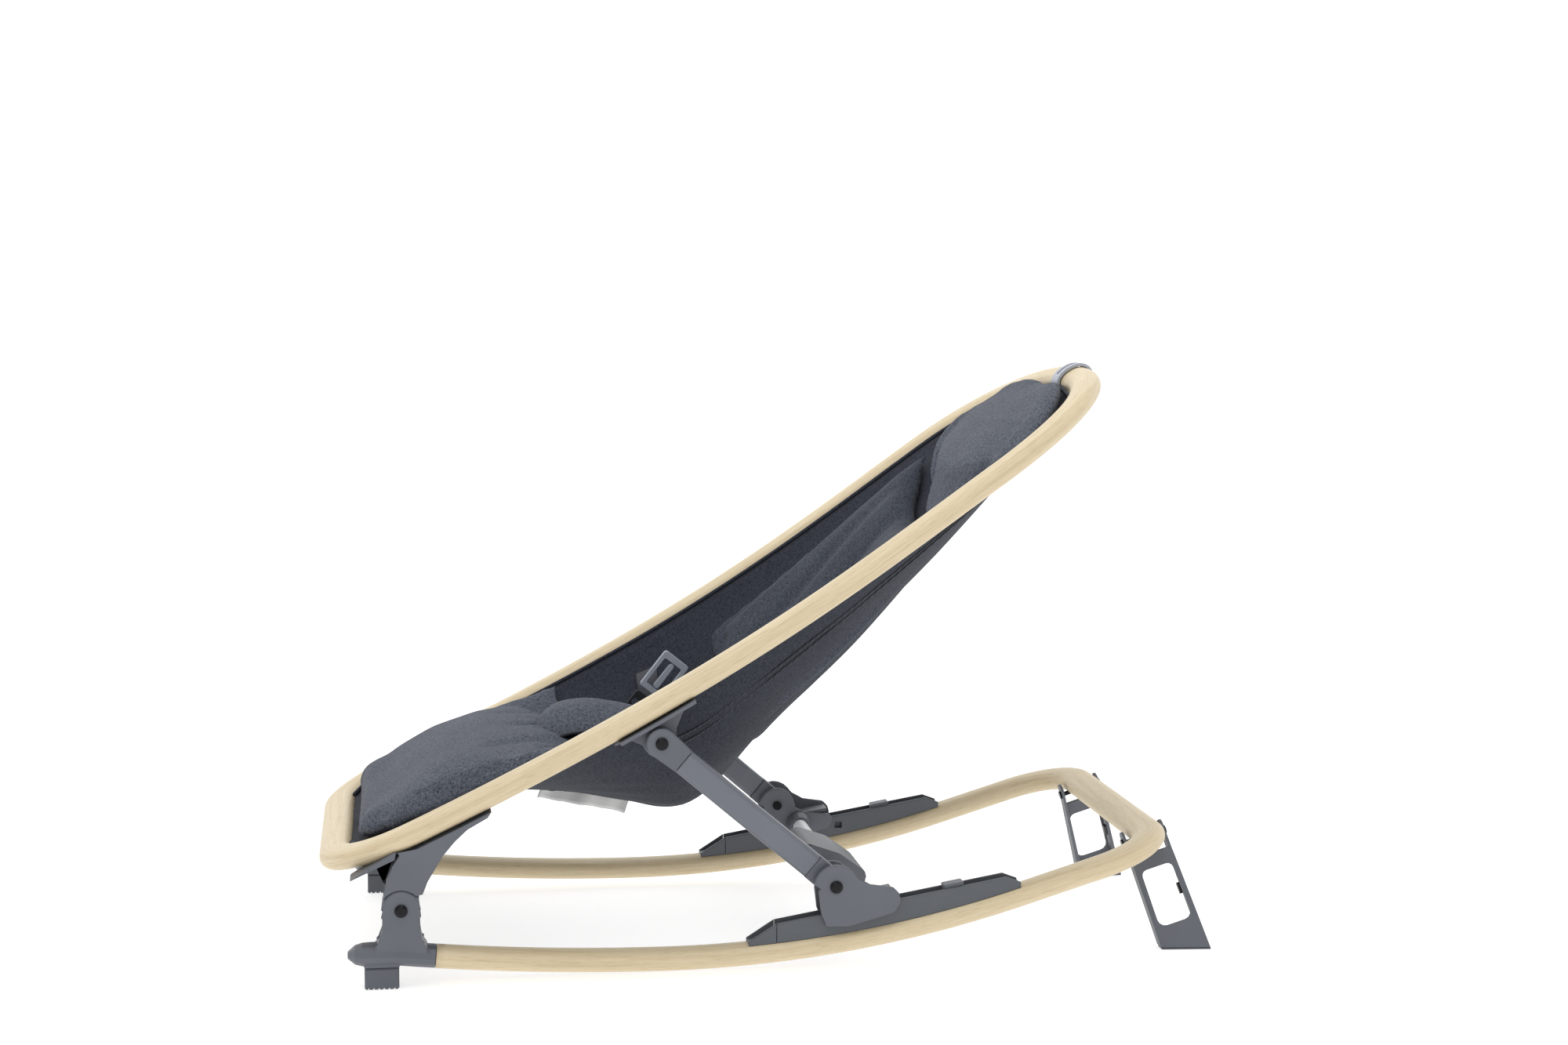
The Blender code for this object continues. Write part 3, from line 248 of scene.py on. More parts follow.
WOOD = wood_material()
GREY = plastic_material("grey_moulding", (0.112, 0.122, 0.143))
TRACK = plastic_material("track_moulding", (0.088, 0.097, 0.110))
STRUT = plastic_material("strut_coat", (0.148, 0.160, 0.186), 0.36, 0.05, 0.0016, 0.25)
TUBE = plastic_material("light_coat", (0.88, 0.89, 0.92), 0.34, 0.03)
LIGHT = plastic_material("light_moulding", (0.38, 0.41, 0.47), 0.42, 0.06, 0.0008)
BLACK = plastic_material("black_gloss", (0.006, 0.006, 0.008), 0.22, 0.05, 0.0008, spec=0.2)
DARK = plastic_material("black_satin", (0.020, 0.021, 0.026), 0.42, 0.1, 0.0008)
RUBBER = plastic_material("foot_rubber", (0.095, 0.103, 0.122), 0.62, 0.12)
CLOTH = fabric_material("melange_sling", (0.016, 0.019, 0.028), (0.054, 0.061, 0.080), turn=(0, -0.6, 0))
PAD = fabric_material("melange_pad", (0.026, 0.031, 0.044), (0.150, 0.165, 0.204), turn=(0, -0.45, 0.3))
# same melange as the sling, only lighter: painted light for how light falls on the body pad's slope
BACK_PAINTED_LIGHT = fabric_material("melange_back_painted_light", (0.018, 0.022, 0.032), (0.088, 0.098, 0.124), turn=(0, -0.6, 0.2))
WEB = webbing_material()
LABEL = label_material()
SLOT_LOOKS = {"wood": WOOD, "grey_plastic": GREY, "strut_grey": STRUT, "light_tube": TUBE,
              "light_plastic": LIGHT, "black": BLACK, "fabric": CLOTH, "pad": PAD, "webbing": WEB,
              "label": LABEL, "rubber": RUBBER}
slot_of = {s["node"]: s["material_slot"] for s in frame["record"]["subparts"]}
for node_name, node_obj in frame["nodes"].items():
    look = SLOT_LOOKS[slot_of[node_name]]
    if node_name.startswith(("release", "lock", "stand_clip")):
        look = DARK
    if node_name == "belt_slider":
        look = DARK
    if node_name.startswith("track"):
        look = TRACK
    node_obj.data.materials.clear()
    node_obj.data.materials.append(look)
    node_obj.data.shade_smooth()
    node_obj.data.set_sharp_from_angle(angle=0.62)


def studio_plane(name, tones, grain_scale, size, rough, glow, **values):
    """Large bright plane behind or under the object."""
    net = Net("studio_" + name)
    grain = net.noise(grain_scale, 2.0, 0.5, net.coords((1, 1, 1)))
    shade = net.ramp(grain, "Fac", [(0.3, (tones[0],) * 3), (0.7, (tones[1],) * 3)])
    look = net.finish((shade, "Color"), None, None, Roughness=rough, Emission_Color=(1, 1, 1, 1),
                      Emission_Strength=glow, **values)
    bm = bmesh.new()
    bmesh.ops.create_grid(bm, x_segments=1, y_segments=1, size=size)
    mesh = bpy.data.meshes.new(name)
    bm.to_mesh(mesh)
    bm.free()
    mesh.materials.append(look)
    plane = bpy.data.objects.new(name, mesh)
    bpy.context.scene.collection.objects.link(plane)
    return plane


floor = studio_plane("floor", (0.54, 0.57), 60.0, 60, 0.75, 0.70, Specular_IOR_Level=0.15)
floor.location.z = -0.0002
wall = studio_plane("wall", (0.50, 0.52), 2.0, 20, 0.8, 0.85)
wall.rotation_euler = (math.pi / 2, 0, 0)
wall.location.y = 9.0

# ------------------------------------------------------------------ the rails' curves, as in the CAD
# Metres in the drawing frame: X runs from the feet to the head, Z up, Y across.
RAIL_Y, TUBE_W, TUBE_T = 0.210, 0.0340, 0.0226
SEAT_CURVE = [Vector(p) for p in ((-0.028, 0.1190), (0.4529, 0.3350), (0.5267, 0.4406), (0.757, 0.5840))]
SEAT_CORNER, SEAT_HEAD_X, HEAD_P, HEAD_Q = 0.085, 0.630, 2.0, 2.4
ROCKER_X, ROCKER_Z, FRONT_R, REAR_R, REAR_TILT = 0.299, 0.0205, 2.39, 1.218, 0.2966
BASE_REAR_X, BASE_CORNER, RAIL_FRONT_X = 0.804, 0.066, 0.0690


def seat_curve(t):
    """Side profile of the seat's rails, feet to head: one cubic curve."""
    a, b, c, d = SEAT_CURVE
    return a * (1 - t) ** 3 + b * 3 * (1 - t) ** 2 * t + c * 3 * (1 - t) * t * t + d * t ** 3


SAMPLES = [seat_curve(k / 600) for k in range(601)]
LENGTHS = np.concatenate([[0], np.cumsum([(b - a).length for a, b in zip(SAMPLES, SAMPLES[1:])])])
SEAT_LENGTH = float(LENGTHS[-1])
SAMPLE_X = np.array([p.x for p in SAMPLES])
SAMPLE_Z = np.array([p.y for p in SAMPLES])
HEAD_START = float(np.interp(SEAT_HEAD_X, SAMPLE_X, LENGTHS))
HEAD_LENGTH = SEAT_LENGTH - HEAD_START


def seat_at(d):
    """Point and upward normal of the seat's side profile at distance d, in the drawing's XZ plane."""
    d = min(max(d, 0.0), SEAT_LENGTH)
    p = Vector((float(np.interp(d, LENGTHS, SAMPLE_X)), float(np.interp(d, LENGTHS, SAMPLE_Z))))
    e = 0.002
    tx = np.interp(min(d + e, SEAT_LENGTH), LENGTHS, SAMPLE_X) - np.interp(max(d - e, 0), LENGTHS, SAMPLE_X)
    tz = np.interp(min(d + e, SEAT_LENGTH), LENGTHS, SAMPLE_Z) - np.interp(max(d - e, 0), LENGTHS, SAMPLE_Z)
    return p, Vector((-float(tz), float(tx))).normalized()


def base_z(x):
    """Height of the base rails' centre line: two rocking arcs, then a straight rise."""
    d = x - ROCKER_X
    if d < 0:
        return ROCKER_Z + d * d / (2 * FRONT_R)
    straight = REAR_R * math.sin(REAR_TILT)
    if d < straight:
        return ROCKER_Z + REAR_R - math.sqrt(REAR_R ** 2 - d * d)
    return ROCKER_Z + REAR_R * (1 - math.cos(REAR_TILT)) + (d - straight) * math.tan(REAR_TILT)


def new_object(name, bm, mat, body=None):
    """Smooth-shaded object from bm, which it frees."""
    bmesh.ops.recalc_face_normals(bm, faces=bm.faces)
    mesh = bpy.data.meshes.new(name)
    bm.to_mesh(mesh)
    bm.free()
    mesh.materials.append(mat)
    mesh.shade_smooth()
    obj = bpy.data.objects.new(name, mesh)
    bpy.context.scene.collection.objects.link(obj)
    if body:
        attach(obj, body)
    return obj


def tube_mesh(path, normals, section, closed=False):
    """Swept tube with UVs in metres: U along it, V round it."""
    bm = bmesh.new()
    uv = bm.loops.layers.uv.new("UVMap")
    count, n = len(path), len(section)
    rings, along = [], [0.0]
    for i, mid in enumerate(path):
        before = path[i - 1] if (i or closed) else path[0]
        after = path[(i + 1) % count] if (i < count - 1 or closed) else path[-1]
        tangent = (after - before).normalized()
        up = (normals[i] - tangent * normals[i].dot(tangent)).normalized()
        across = tangent.cross(up)
        rings.append([bm.verts.new(mid + across * u + up * v - SHIFT) for u, v in section])
        along.append(along[-1] + (path[(i + 1) % count] - mid).length)
    turn = [0.0]
    for k in range(n):
        a, b = Vector(section[k]), Vector(section[(k + 1) % n])
        turn.append(turn[-1] + (b - a).length)
    for i in range(count if closed else count - 1):
        a, b = rings[i], rings[(i + 1) % count]
        for k in range(n):
            face = bm.faces.new((a[k], a[(k + 1) % n], b[(k + 1) % n], b[k]))
            for loop, (uu, vv) in zip(face.loops, ((along[i], turn[k]), (along[i], turn[k + 1]),
                                                   (along[i + 1], turn[k + 1]), (along[i + 1], turn[k]))):
                loop[uv].uv = (uu, vv)
    if not closed:
        bm.faces.new(rings[0])
        bm.faces.new(rings[-1])
    return bm


def oval(width, thick, steps=28, power=2.25):
    """Superellipse section as (across, up) points."""
    out = []
    for k in range(steps):
        c, s = math.cos(2 * math.pi * k / steps), math.sin(2 * math.pi * k / steps)
        out.append((math.copysign(abs(c) ** (2 / power), c) * width / 2,
                    math.copysign(abs(s) ** (2 / power), s) * thick / 2))
    return out


# ------------------------------------------------------------------ wooden frames with grain along them
def seat_loop():
    """Closed seat loop: foot bar, two rails and the head arch."""
    flat = RAIL_Y - SEAT_CORNER
    plan = [(0.0, -flat * k / 8) for k in range(8)]
    plan += [(SEAT_CORNER * (1 - math.cos(math.radians(a))), -flat - SEAT_CORNER * math.sin(math.radians(a)))
             for a in range(0, 90, 6)]
    plan += [(SEAT_CORNER + (HEAD_START - SEAT_CORNER) * k / 60, -RAIL_Y) for k in range(61)]
    for k in range(1, 32):
        a = math.radians(90 * k / 32)
        plan.append((HEAD_START + HEAD_LENGTH * math.sin(a), -RAIL_Y * math.cos(a) ** (2 / HEAD_Q)))
    plan.append((SEAT_LENGTH - 1e-5, 0.0))
    full = plan + [(d, -y) for d, y in reversed(plan[1:-1])]
    path, normals = [], []
    for d, y in full:
        p, n = seat_at(d)
        path.append(Vector((p.x, y, p.y)))
        normals.append(Vector((n.x, 0, n.y)))
    return new_object("seat_loop_wood", tube_mesh(path, normals, oval(TUBE_W, TUBE_T), True), WOOD, "seat")


def base_loop():
    """Open base loop: two rocker rails joined behind."""
    start = BASE_REAR_X - BASE_CORNER
    half = [(RAIL_FRONT_X + 0.0003 + (start - RAIL_FRONT_X) * k / 70, -RAIL_Y) for k in range(71)]
    half += [(start + BASE_CORNER * math.sin(math.radians(a)),
              -RAIL_Y + BASE_CORNER * (1 - math.cos(math.radians(a)))) for a in range(5, 91, 5)]
    half += [(BASE_REAR_X, -(RAIL_Y - BASE_CORNER) * (1 - k / 8)) for k in range(1, 8)]
    full = half + [(BASE_REAR_X, 0.0)] + [(x, -y) for x, y in reversed(half)]
    path = [Vector((x, y, base_z(x))) for x, y in full]
    normals = [Vector((-(base_z(x + 1e-3) - base_z(x - 1e-3)) / 2e-3, 0, 1)).normalized() for x, y in full]
    return new_object("base_loop_wood", tube_mesh(path, normals, oval(TUBE_W, TUBE_T)), WOOD, "base")


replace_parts(seat_loop(), "seat_frame")
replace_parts(base_loop(), "base_frame")

# ------------------------------------------------------------------ the sling's surface
# Pairs of share of the cloth's length, feet to head, and depth in metres.
SAG = np.array(((0.00, 0.000), (0.06, 0.008), (0.14, 0.018), (0.20, 0.034), (0.25, 0.060), (0.30, 0.088),
                (0.36, 0.124), (0.40, 0.150), (0.43, 0.158), (0.47, 0.148), (0.52, 0.132), (0.60, 0.112),
                (0.69, 0.091), (0.78, 0.072), (0.84, 0.056), (0.88, 0.040), (0.94, 0.018), (1.00, 0.003)))
BLUR = np.linspace(-0.022, 0.022, 9)         # rounds the table's corners off
RIM = 0.0178                                 # from the loop's centre line to the cloth's edge
CLOTH_LENGTH = SEAT_LENGTH - 2 * RIM
CLOTH_ABOVE = 0.0015                         # the cloth's edge above the rails' plane
CLOTH_LOW, CLOTH_HIGH = -0.0030, -0.0008     # the sheet's two faces, along its normal
SEAM_DEPTH = 0.0036                          # seams lie under the sheet


def sag(s):
    """Depth of the sling below the rails' plane on its middle line, feet to head."""
    return float(np.mean(np.interp(np.clip(BLUR + s, 0, 1), SAG[:, 0], SAG[:, 1])))


def inner_half(d):
    """Half the cloth's width at distance d along the rails."""
    if d < SEAT_CORNER:
        r = SEAT_CORNER - RIM
        return RAIL_Y - SEAT_CORNER + math.sqrt(max(r * r - (SEAT_CORNER - d) ** 2, 1e-6))
    if d > HEAD_START:
        s = min((d - HEAD_START) / (HEAD_LENGTH - RIM), 0.9995)
        return (RAIL_Y - RIM - 0.003 * s) * (1 - s ** HEAD_P) ** (1 / HEAD_Q)
    return RAIL_Y - RIM


def rail_share(x):
    """Share s of the cloth's length at a drawing X of its rails."""
    return (float(np.interp(x, SAMPLE_X, LENGTHS)) - RIM) / CLOTH_LENGTH


def sling_point(s, v, lift=0.0):
    """Point over the sling in the drawing frame: s feet to head, v rail to rail."""
    p, n = seat_at(RIM + CLOTH_LENGTH * s)
    drop = sag(s) * (1 - v * v) ** 0.9
    return Vector((p.x + n.x * (CLOTH_ABOVE + lift) + drop * 0.10, inner_half(RIM + CLOTH_LENGTH * s) * v,
                   p.y + n.y * (CLOTH_ABOVE + lift) - drop))


def sling_normal(s, v):
    """Upward normal of the sling at (s, v)."""
    a = sling_point(min(s + 0.01, 1), v) - sling_point(max(s - 0.01, 0), v)
    b = sling_point(s, min(v + 0.02, 0.999)) - sling_point(s, max(v - 0.02, -0.999))
    n = a.cross(b).normalized()
    return n if n.z > 0 else -n


def folds(s, v):
    """Shallow folds of a stretched cloth: diagonal drag lines from the hips towards the rails."""
    drag = math.sin(38 * s + 7.5 * abs(v) + 1.3 * math.sin(9 * v)) * math.exp(-((s - 0.50) / 0.16) ** 2)
    hem = math.sin(46 * v + 3 * s) * math.exp(-((s - 0.34) / 0.06) ** 2)
    soft = noise.noise(Vector((s * 9, v * 4, 0.3)))
    edges = 0.0016 * drag * min(1, 4 * (1 - abs(v))) + 0.0012 * hem * (1 - abs(v))
    return edges + 0.0022 * soft * (1 - v * v)


def close_sheet(bm, low, high):
    """Faces of two grids of points, and of the edge between them."""
    rows, cols = len(low) - 1, len(low[0]) - 1
    for grid in (low, high):
        for i in range(rows):
            for j in range(cols):
                bm.faces.new((grid[i][j], grid[i][j + 1], grid[i + 1][j + 1], grid[i + 1][j]))
    rim = [(0, j) for j in range(cols)] + [(i, cols) for i in range(rows)]
    rim += [(rows, j) for j in range(cols, 0, -1)] + [(i, 0) for i in range(rows, 0, -1)]
    for (a, b), (c, d) in zip(rim, rim[1:] + rim[:1]):
        bm.faces.new((low[a][b], low[c][d], high[c][d], high[a][b]))


def sheet_body(point_low, point_high, rows, cols, s_range=(0, 1)):
    """Closed sheet, rail to rail, between two surfaces given as functions of (s, v)."""
    bm = bmesh.new()
    grids = []
    for func in (point_low, point_high):
        grid = []
        for i in range(rows + 1):
            s = s_range[0] + (s_range[1] - s_range[0]) * i / rows
            grid.append([bm.verts.new(func(s, 2 * j / cols - 1) - SHIFT) for j in range(cols + 1)])
        grids.append(grid)
    close_sheet(bm, *grids)
    return bm


def sling_skin(s, v, offset):
    """The folded cloth, moved by offset along its normal."""
    return sling_point(s, v) + sling_normal(s, v) * (folds(s, v) * 0.8 + offset)


sling = new_object("sling_cloth", sheet_body(lambda s, v: sling_skin(s, v, CLOTH_LOW),
                                             lambda s, v: sling_skin(s, v, CLOTH_HIGH), 110, 64),
                   CLOTH, None)
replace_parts(sling, "sling")


def strand(name, points, radius, mat, sides=8):
    """Thin piping or seam that follows drawing-frame points."""
    normals = [Vector((0.03, 0.02, 1)).normalized()] * len(points)
    bm = tube_mesh(points, normals, oval(2 * radius, 2 * radius, sides, 2.0))
    return new_object(name, bm, mat, None)


def seam_line(start, length, v, steps):
    """Points of a seam under the sling, along share v of its half-width."""
    shares = [start + length * k / steps for k in range(steps + 1)]
    return [sling_point(s, v) - sling_normal(s, v) * SEAM_DEPTH for s in shares]


pieces_soft = [sling]
for side, tag in ((-1, "left"), (1, "right")):
    piping = [sling_point(k / 70, side * 0.997) + Vector((0, side * 0.0012, 0.0018)) for k in range(0, 71)]
    pieces_soft.append(strand("edge_piping_" + tag, piping, 0.0021, CLOTH))
    for row, v0 in enumerate((0.80, 0.835)):
        seam = seam_line(0.40, 0.50, side * v0, 60)
        pieces_soft.append(strand(f"back_seam_{tag}_{row}", seam, 0.0009, WEB, 6))
for row, v0 in enumerate((-0.022, 0.022)):
    seam = seam_line(0.24, 0.56, v0, 90)
    pieces_soft.append(strand(f"middle_seam_{row}", seam, 0.0013, WEB, 6))

# ------------------------------------------------------------------ padded pieces
PAD_GAP = 0.0016                             # from the sling's surface to a pad's underside
PAD_LEAST = 0.012                            # a pad drawn from the rails' plane is at least this thick
PAD_LIFT = 0.0085                            # keeps the swollen pad clear of the sling
VOXEL, PRESSURE, CLOTH_FRAMES = 0.0050, 4.0, 20


def pad_body(name, s_of, reach, height, rows, cols, round_s, round_v):
    """Closed pad on the sling. s_of(f, g) is its outline; height is above the sling, or above the
    rails' plane when it returns a pair (value, True)."""
    bm = bmesh.new()
    grids = []
    for layer in (0, 1):
        grid = []
        for i in range(rows + 1):
            line = []
            for j in range(cols + 1):
                f, g = i / rows, 2 * j / cols - 1
                s, v = s_of(f, g), reach * g
                swell = (max(1 - abs(2 * f - 1) ** round_s, 0) * max(1 - abs(g) ** round_v, 0)) ** 0.55
                low = sling_point(s, v, PAD_GAP)
                if not layer:
                    line.append(bm.verts.new(low - SHIFT))
                    continue
                h, from_rails = height(f, g)
                top = sling_point(s, v, PAD_GAP + (PAD_LEAST if from_rails else h))
                if from_rails:
                    p, n = seat_at(RIM + CLOTH_LENGTH * s)
                    high_top = Vector((p.x + n.x * h, low.y, p.y + n.y * h))
                    top = high_top if high_top.z > top.z else top
                line.append(bm.verts.new(low.lerp(top, swell) + Vector((0, 0, PAD_LIFT)) - SHIFT))
            grid.append(line)
        grids.append(grid)
    close_sheet(bm, *grids)
    return new_object(name, bm, PAD, None)


def inflate(obj, cap):
    """Cloth pressure pass: the pad swells, each point is capped, and the result is applied."""
    bpy.context.view_layer.objects.active = obj
    remesh = obj.modifiers.new("remesh", "REMESH")
    remesh.mode, remesh.voxel_size = "VOXEL", VOXEL
    graph = bpy.context.evaluated_depsgraph_get()
    mesh = bpy.data.meshes.new_from_object(obj.evaluated_get(graph))
    obj.modifiers.clear()
    mesh.materials.clear()
    mesh.materials.append(PAD)
    obj.data = mesh
    rest = np.array([v.co[:] for v in mesh.vertices])
    cloth = obj.modifiers.new("cloth", "CLOTH")
    cloth.settings.use_pressure = True
    cloth.settings.uniform_pressure_force = PRESSURE
    cloth.settings.effector_weights.gravity = 0.0
    cloth.settings.quality = 4
    cloth.collision_settings.use_self_collision = False
    for f in range(1, CLOTH_FRAMES + 1):
        bpy.context.scene.frame_set(f)
    graph = bpy.context.evaluated_depsgraph_get()
    done = bpy.data.meshes.new_from_object(obj.evaluated_get(graph))
    new = np.array([v.co[:] for v in done.vertices])
    obj.modifiers.clear()
    bpy.context.scene.frame_set(1)
    move = new - rest
    far = np.linalg.norm(move, axis=1, keepdims=True)
    move *= np.minimum(1.0, cap / np.maximum(far, 1e-9))
    down = np.minimum(move[:, 2], 0)
    move[:, 2] -= down * 0.9                      # it swells up, not into the sling
    for v, p in zip(mesh.vertices, rest + move):
        v.co = p
    smooth = obj.modifiers.new("smooth", "SMOOTH")
    smooth.factor, smooth.iterations = 0.5, 9
    sub = obj.modifiers.new("sub", "SUBSURF")
    sub.levels = sub.render_levels = 1
    graph = bpy.context.evaluated_depsgraph_get()
    final = bpy.data.meshes.new_from_object(obj.evaluated_get(graph))
    obj.modifiers.clear()
    obj.data = final
    final.shade_smooth()


def sculpt(obj, move):
    """Moves points by a function of their drawing-frame place."""
    for v in obj.data.vertices:
        v.co += move(v.co + SHIFT)
    obj.data.update()


# Pairs of share of the pad's length and height of its top above the rails' plane, in metres.
LEG_H = np.array(((0.00, 0.002), (0.12, 0.006), (0.21, 0.014), (0.40, 0.019), (0.60, 0.013), (0.80, -0.010),
                  (0.90, -0.034), (1.00, -0.070)))
HEAD_H = np.array(((0.00, -0.040), (0.14, -0.010), (0.45, 0.002), (0.85, 0.006), (1.00, 0.003)))
leg = pad_body("leg_pad_cloth", lambda f, g: 0.002 + (0.306 - 0.020 * g * g) * f, 0.965,
               lambda f, g: (float(np.interp(f, LEG_H[:, 0], LEG_H[:, 1])), True), 44, 46, 9.0, 5.0)
body_low, body_high = rail_share(0.375), rail_share(0.594)
body = pad_body("body_pad_cloth", lambda f, g: body_low + (body_high - body_low + 0.055 * g * g) * f, 0.88,
                lambda f, g: (0.012 + 0.012 * f + 0.003 * math.cos(3 * math.pi * g), False),
                40, 44, 8.0, 3.0)
pillow_low = rail_share(0.598)
head = pad_body("head_pillow_cloth",
                lambda f, g: pillow_low + 0.075 * g * g + (0.998 - pillow_low - 0.075 * g * g) * f, 0.965,
                lambda f, g: (float(np.interp(f, HEAD_H[:, 0], HEAD_H[:, 1])), True), 36, 44, 9.0, 5.0)
for obj, cap in ((leg, 0.008), (body, 0.006), (head, 0.007)):
    inflate(obj, cap)


def leg_detail(p):
    """Puckered seam at the crotch, long soft rolls over the thighs and a loose surface."""
    dx, dy = p.x - 0.215, p.y
    seam = math.exp(-(p.y / 0.011) ** 2) * min(max((p.x - 0.145) / 0.05, 0), 1)
    far = math.hypot(dx, dy)
    fan = math.sin(9 * math.atan2(dy, dx)) * math.exp(-(far / 0.045) ** 2) * min(far / 0.02, 1)
    side = math.exp(-((abs(p.y) - 0.085 - 0.35 * max(0.17 - p.x, 0)) / 0.014) ** 2)
    side *= min(max((p.x - 0.10) / 0.08, 0), 1)
    return Vector((0, 0, -0.010 * seam + 0.0016 * fan - 0.0045 * side + 0.0026 * noise.noise(p * 13.0)))


def body_detail(p):
    """Folds that run up the back between the hips and the pillow."""
    rise = (p.x - 0.40) / 0.20
    fade = math.exp(-((rise - 0.45) / 0.55) ** 2)
    fold = sum(math.exp(-((abs(p.y) - w - 0.025 * rise) / 0.010) ** 2) for w in (0.045, 0.095))
    return Vector((-0.5, 0, 0.8)) * (-0.0050 * fold * fade + 0.0030 * noise.noise(p * 11.0))


def head_detail(p):
    """A curved tuck low on the pillow, with soft hollows above it."""
    rise = (p.x - 0.625) - 0.9 * p.y * p.y
    tuck = math.exp(-((rise - 0.030) / 0.0050) ** 2) * math.exp(-(p.y / 0.11) ** 4)
    return Vector((-0.55, 0, 0.8)) * (-0.0012 * tuck + 0.0030 * noise.noise(p * 12.0))


# the body pad takes the lighter copy of the sling's cloth: painted light, not a different fabric
body.data.materials.clear()
body.data.materials.append(BACK_PAINTED_LIGHT)
sculpt(leg, leg_detail)
sculpt(body, body_detail)
sculpt(head, head_detail)
for obj, node, fill in ((leg, "leg_pad", 0.6), (body, "body_pad", 0.4), (head, "head_pillow", 0.6)):
    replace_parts(obj, node)
    pieces_soft.append(obj)

FLAP_LINE = [Vector(p) for p in ((0.186, 0.2120), (0.192, 0.2280), (0.210, 0.2385), (0.236, 0.2410),
                                 (0.262, 0.2375), (0.288, 0.2300), (0.308, 0.2215))]


def flap_mid(f):
    """Middle line of the flap, smoothed between its control points."""
    k = f * (len(FLAP_LINE) - 1)
    i = min(int(k), len(FLAP_LINE) - 2)
    a, b = FLAP_LINE[i], FLAP_LINE[i + 1]
    before = FLAP_LINE[max(i - 1, 0)]
    after = FLAP_LINE[min(i + 2, len(FLAP_LINE) - 1)]
    t = k - i
    return 0.5 * (2 * a + (b - before) * t + (2 * before - 5 * a + 4 * b - after) * t * t
                  + (3 * a - before - 3 * b + after) * t ** 3)


FLAP_HALF, FLAP_THICK, FLAP_DROOP = 0.060, 0.0085, 0.016


def flap_taper(f):
    """Share of the flap's section that is left at share f of its length; both ends are rounded."""
    return max(1 - (2 * f - 1) ** 8, 0.04) ** 0.5


def flap_half(f):
    """Half the flap's width at share f of its length."""
    return FLAP_HALF * (0.86 + 0.14 * math.sin(math.pi * f)) * flap_taper(f)


def crotch_flap():
    """Padded tongue that rises at the crotch and rolls back over the lap."""
    bm = bmesh.new()
    rings = []
    steps, sides = 40, 48
    for k in range(steps + 1):
        f = k / steps
        mid = flap_mid(f)
        ahead, back = flap_mid(min(f + 0.01, 1)), flap_mid(max(f - 0.01, 0))
        tangent = (ahead - back).normalized()
        normal = Vector((-tangent.y, 0, tangent.x))
        wide, thick = flap_half(f), FLAP_THICK * flap_taper(f)
        ring = []
        for j in range(sides):
            a = 2 * math.pi * j / sides
            c, q = math.cos(a), math.sin(a)
            y = wide * math.copysign(abs(c) ** 0.9, c)
            h = thick * math.copysign(abs(q) ** 0.8, q) * (0.55 + 0.45 * (1 - abs(c) ** 4))
            droop = FLAP_DROOP * (y / FLAP_HALF) ** 2
            ring.append(bm.verts.new(Vector((mid.x, y, mid.y)) + normal * h - Vector((0, 0, droop)) - SHIFT))
        rings.append(ring)
    for a, b in zip(rings, rings[1:]):
        for j in range(sides):
            bm.faces.new((a[j], a[(j + 1) % sides], b[(j + 1) % sides], b[j]))
    bm.faces.new(rings[0])
    bm.faces.new(rings[-1])
    return new_object("crotch_flap_cloth", bm, PAD, None)


flap = crotch_flap()
for side, tag in ((-1, "near"), (1, "far")):
    rim = []
    for k in range(3, 58):
        f = k / 60
        wide, mid = 1.01 * flap_half(f), flap_mid(f)
        rim.append(Vector((mid.x, side * wide, mid.y - FLAP_DROOP * (wide / FLAP_HALF) ** 2)))
    pieces_soft.append(strand("flap_binding_" + tag, rim, 0.0019, WEB))
sculpt(flap, lambda p: Vector((0, 0, 0.0018 * noise.noise(p * 28.0))))
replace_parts(flap, "crotch_flap")
pieces_soft.append(flap)

# ------------------------------------------------------------------ belts, label
BELT_SHARES = (0.395, 0.424)                 # across the belt, as shares of the cloth's length
BELT_ENDS = (0.55, 0.88)                     # along the belt, as shares of the cloth's half-width
BELT_LOW, BELT_HIGH = 0.0012, 0.0028         # the belt's two faces above the sling


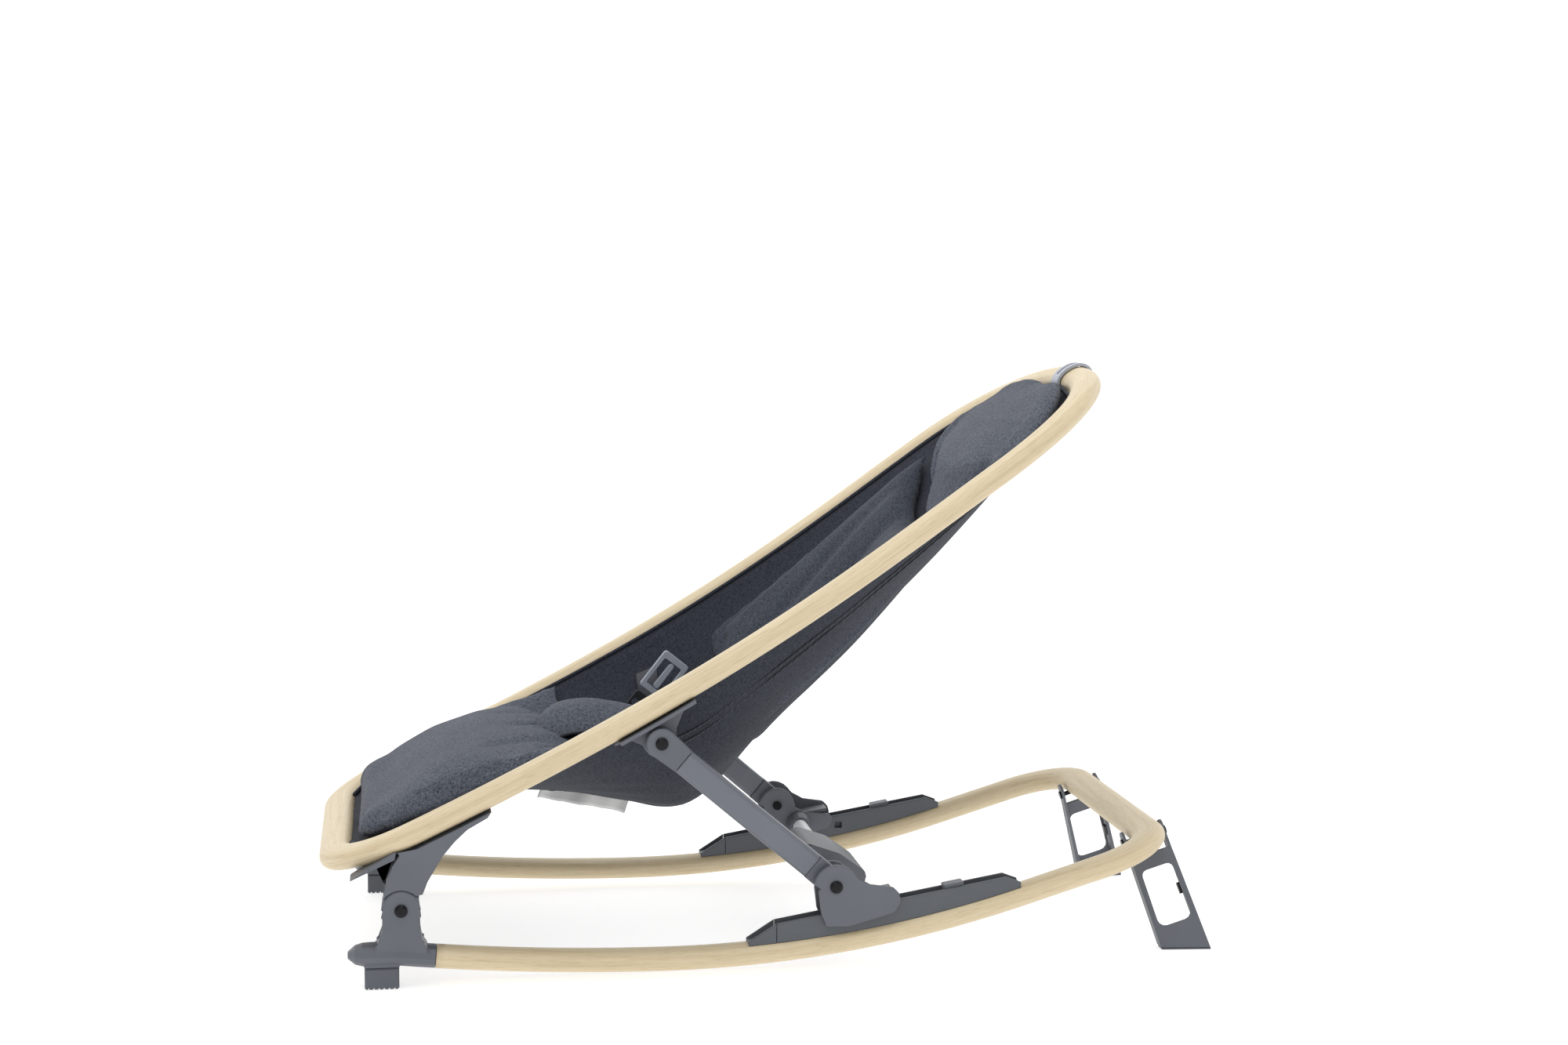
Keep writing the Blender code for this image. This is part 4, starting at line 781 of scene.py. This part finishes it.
def waist_belt(side, tag):
    """Webbing strip that lies on the sling from the hip to near its rail."""
    belt = new_object("waist_belt_web_" + tag, sheet_body(
        lambda s, v: sling_point(s, v) + sling_normal(s, v) * BELT_LOW,
        lambda s, v: sling_point(s, v) + sling_normal(s, v) * BELT_HIGH, 6, 24, BELT_SHARES),
        WEB, None)
    bm = bmesh.new()
    bm.from_mesh(belt.data)
    lo, hi = sorted(side * share * (RAIL_Y - RIM) for share in BELT_ENDS)
    for limit, normal in ((lo, (0, -1, 0)), (hi, (0, 1, 0))):
        geom = list(bm.verts) + list(bm.edges) + list(bm.faces)
        cut = bmesh.ops.bisect_plane(bm, geom=geom, plane_co=(0, limit, 0), plane_no=normal,
                                     clear_outer=True)["geom_cut"]
        bmesh.ops.contextual_create(bm, geom=[e for e in cut if isinstance(e, bmesh.types.BMEdge)])
    bmesh.ops.recalc_face_normals(bm, faces=bm.faces)
    bm.to_mesh(belt.data)
    bm.free()
    return belt


for side, tag in ((-1, "left"), (1, "right")):
    belt = waist_belt(side, tag)
    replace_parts(belt, "waist_belt_" + tag)
    pieces_soft.append(belt)

LABEL_START, LABEL_LENGTH, LABEL_DROP, LABEL_THICK = 0.186, 0.092, 0.0150, 0.0005


def care_label():
    """Blank satin strip that hangs under the seat's middle seam."""
    bm = bmesh.new()
    cols, rows = 30, 5
    layers = []
    for depth in (0.0, LABEL_THICK):
        grid = []
        for i in range(cols + 1):
            f = i / cols
            x = LABEL_START + LABEL_LENGTH * f
            low = min((sling_point(k / 400, 0.0) for k in range(80, 180)), key=lambda p: abs(p.x - x))
            line = []
            for k in range(rows + 1):
                g = k / rows
                wave = 0.0030 * math.sin(9 * f + 1.0) * g + 0.0014 * math.sin(23 * f) * g
                line.append(bm.verts.new(Vector((x - 0.006 * g, -0.004 - 0.003 * g + wave + depth,
                                                 low.z - 0.0020 - LABEL_DROP * g)) - SHIFT))
            grid.append(line)
        layers.append(grid)
    close_sheet(bm, *layers)
    return new_object("care_label_cloth", bm, LABEL, None)


label = care_label()
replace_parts(label, "care_label")
pieces_soft.append(label)

# the soft pieces ride with the seat, each with a mesh of its own
for obj in pieces_soft:
    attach(obj, "seat")
    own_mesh(obj)

bpy.context.view_layer.update()
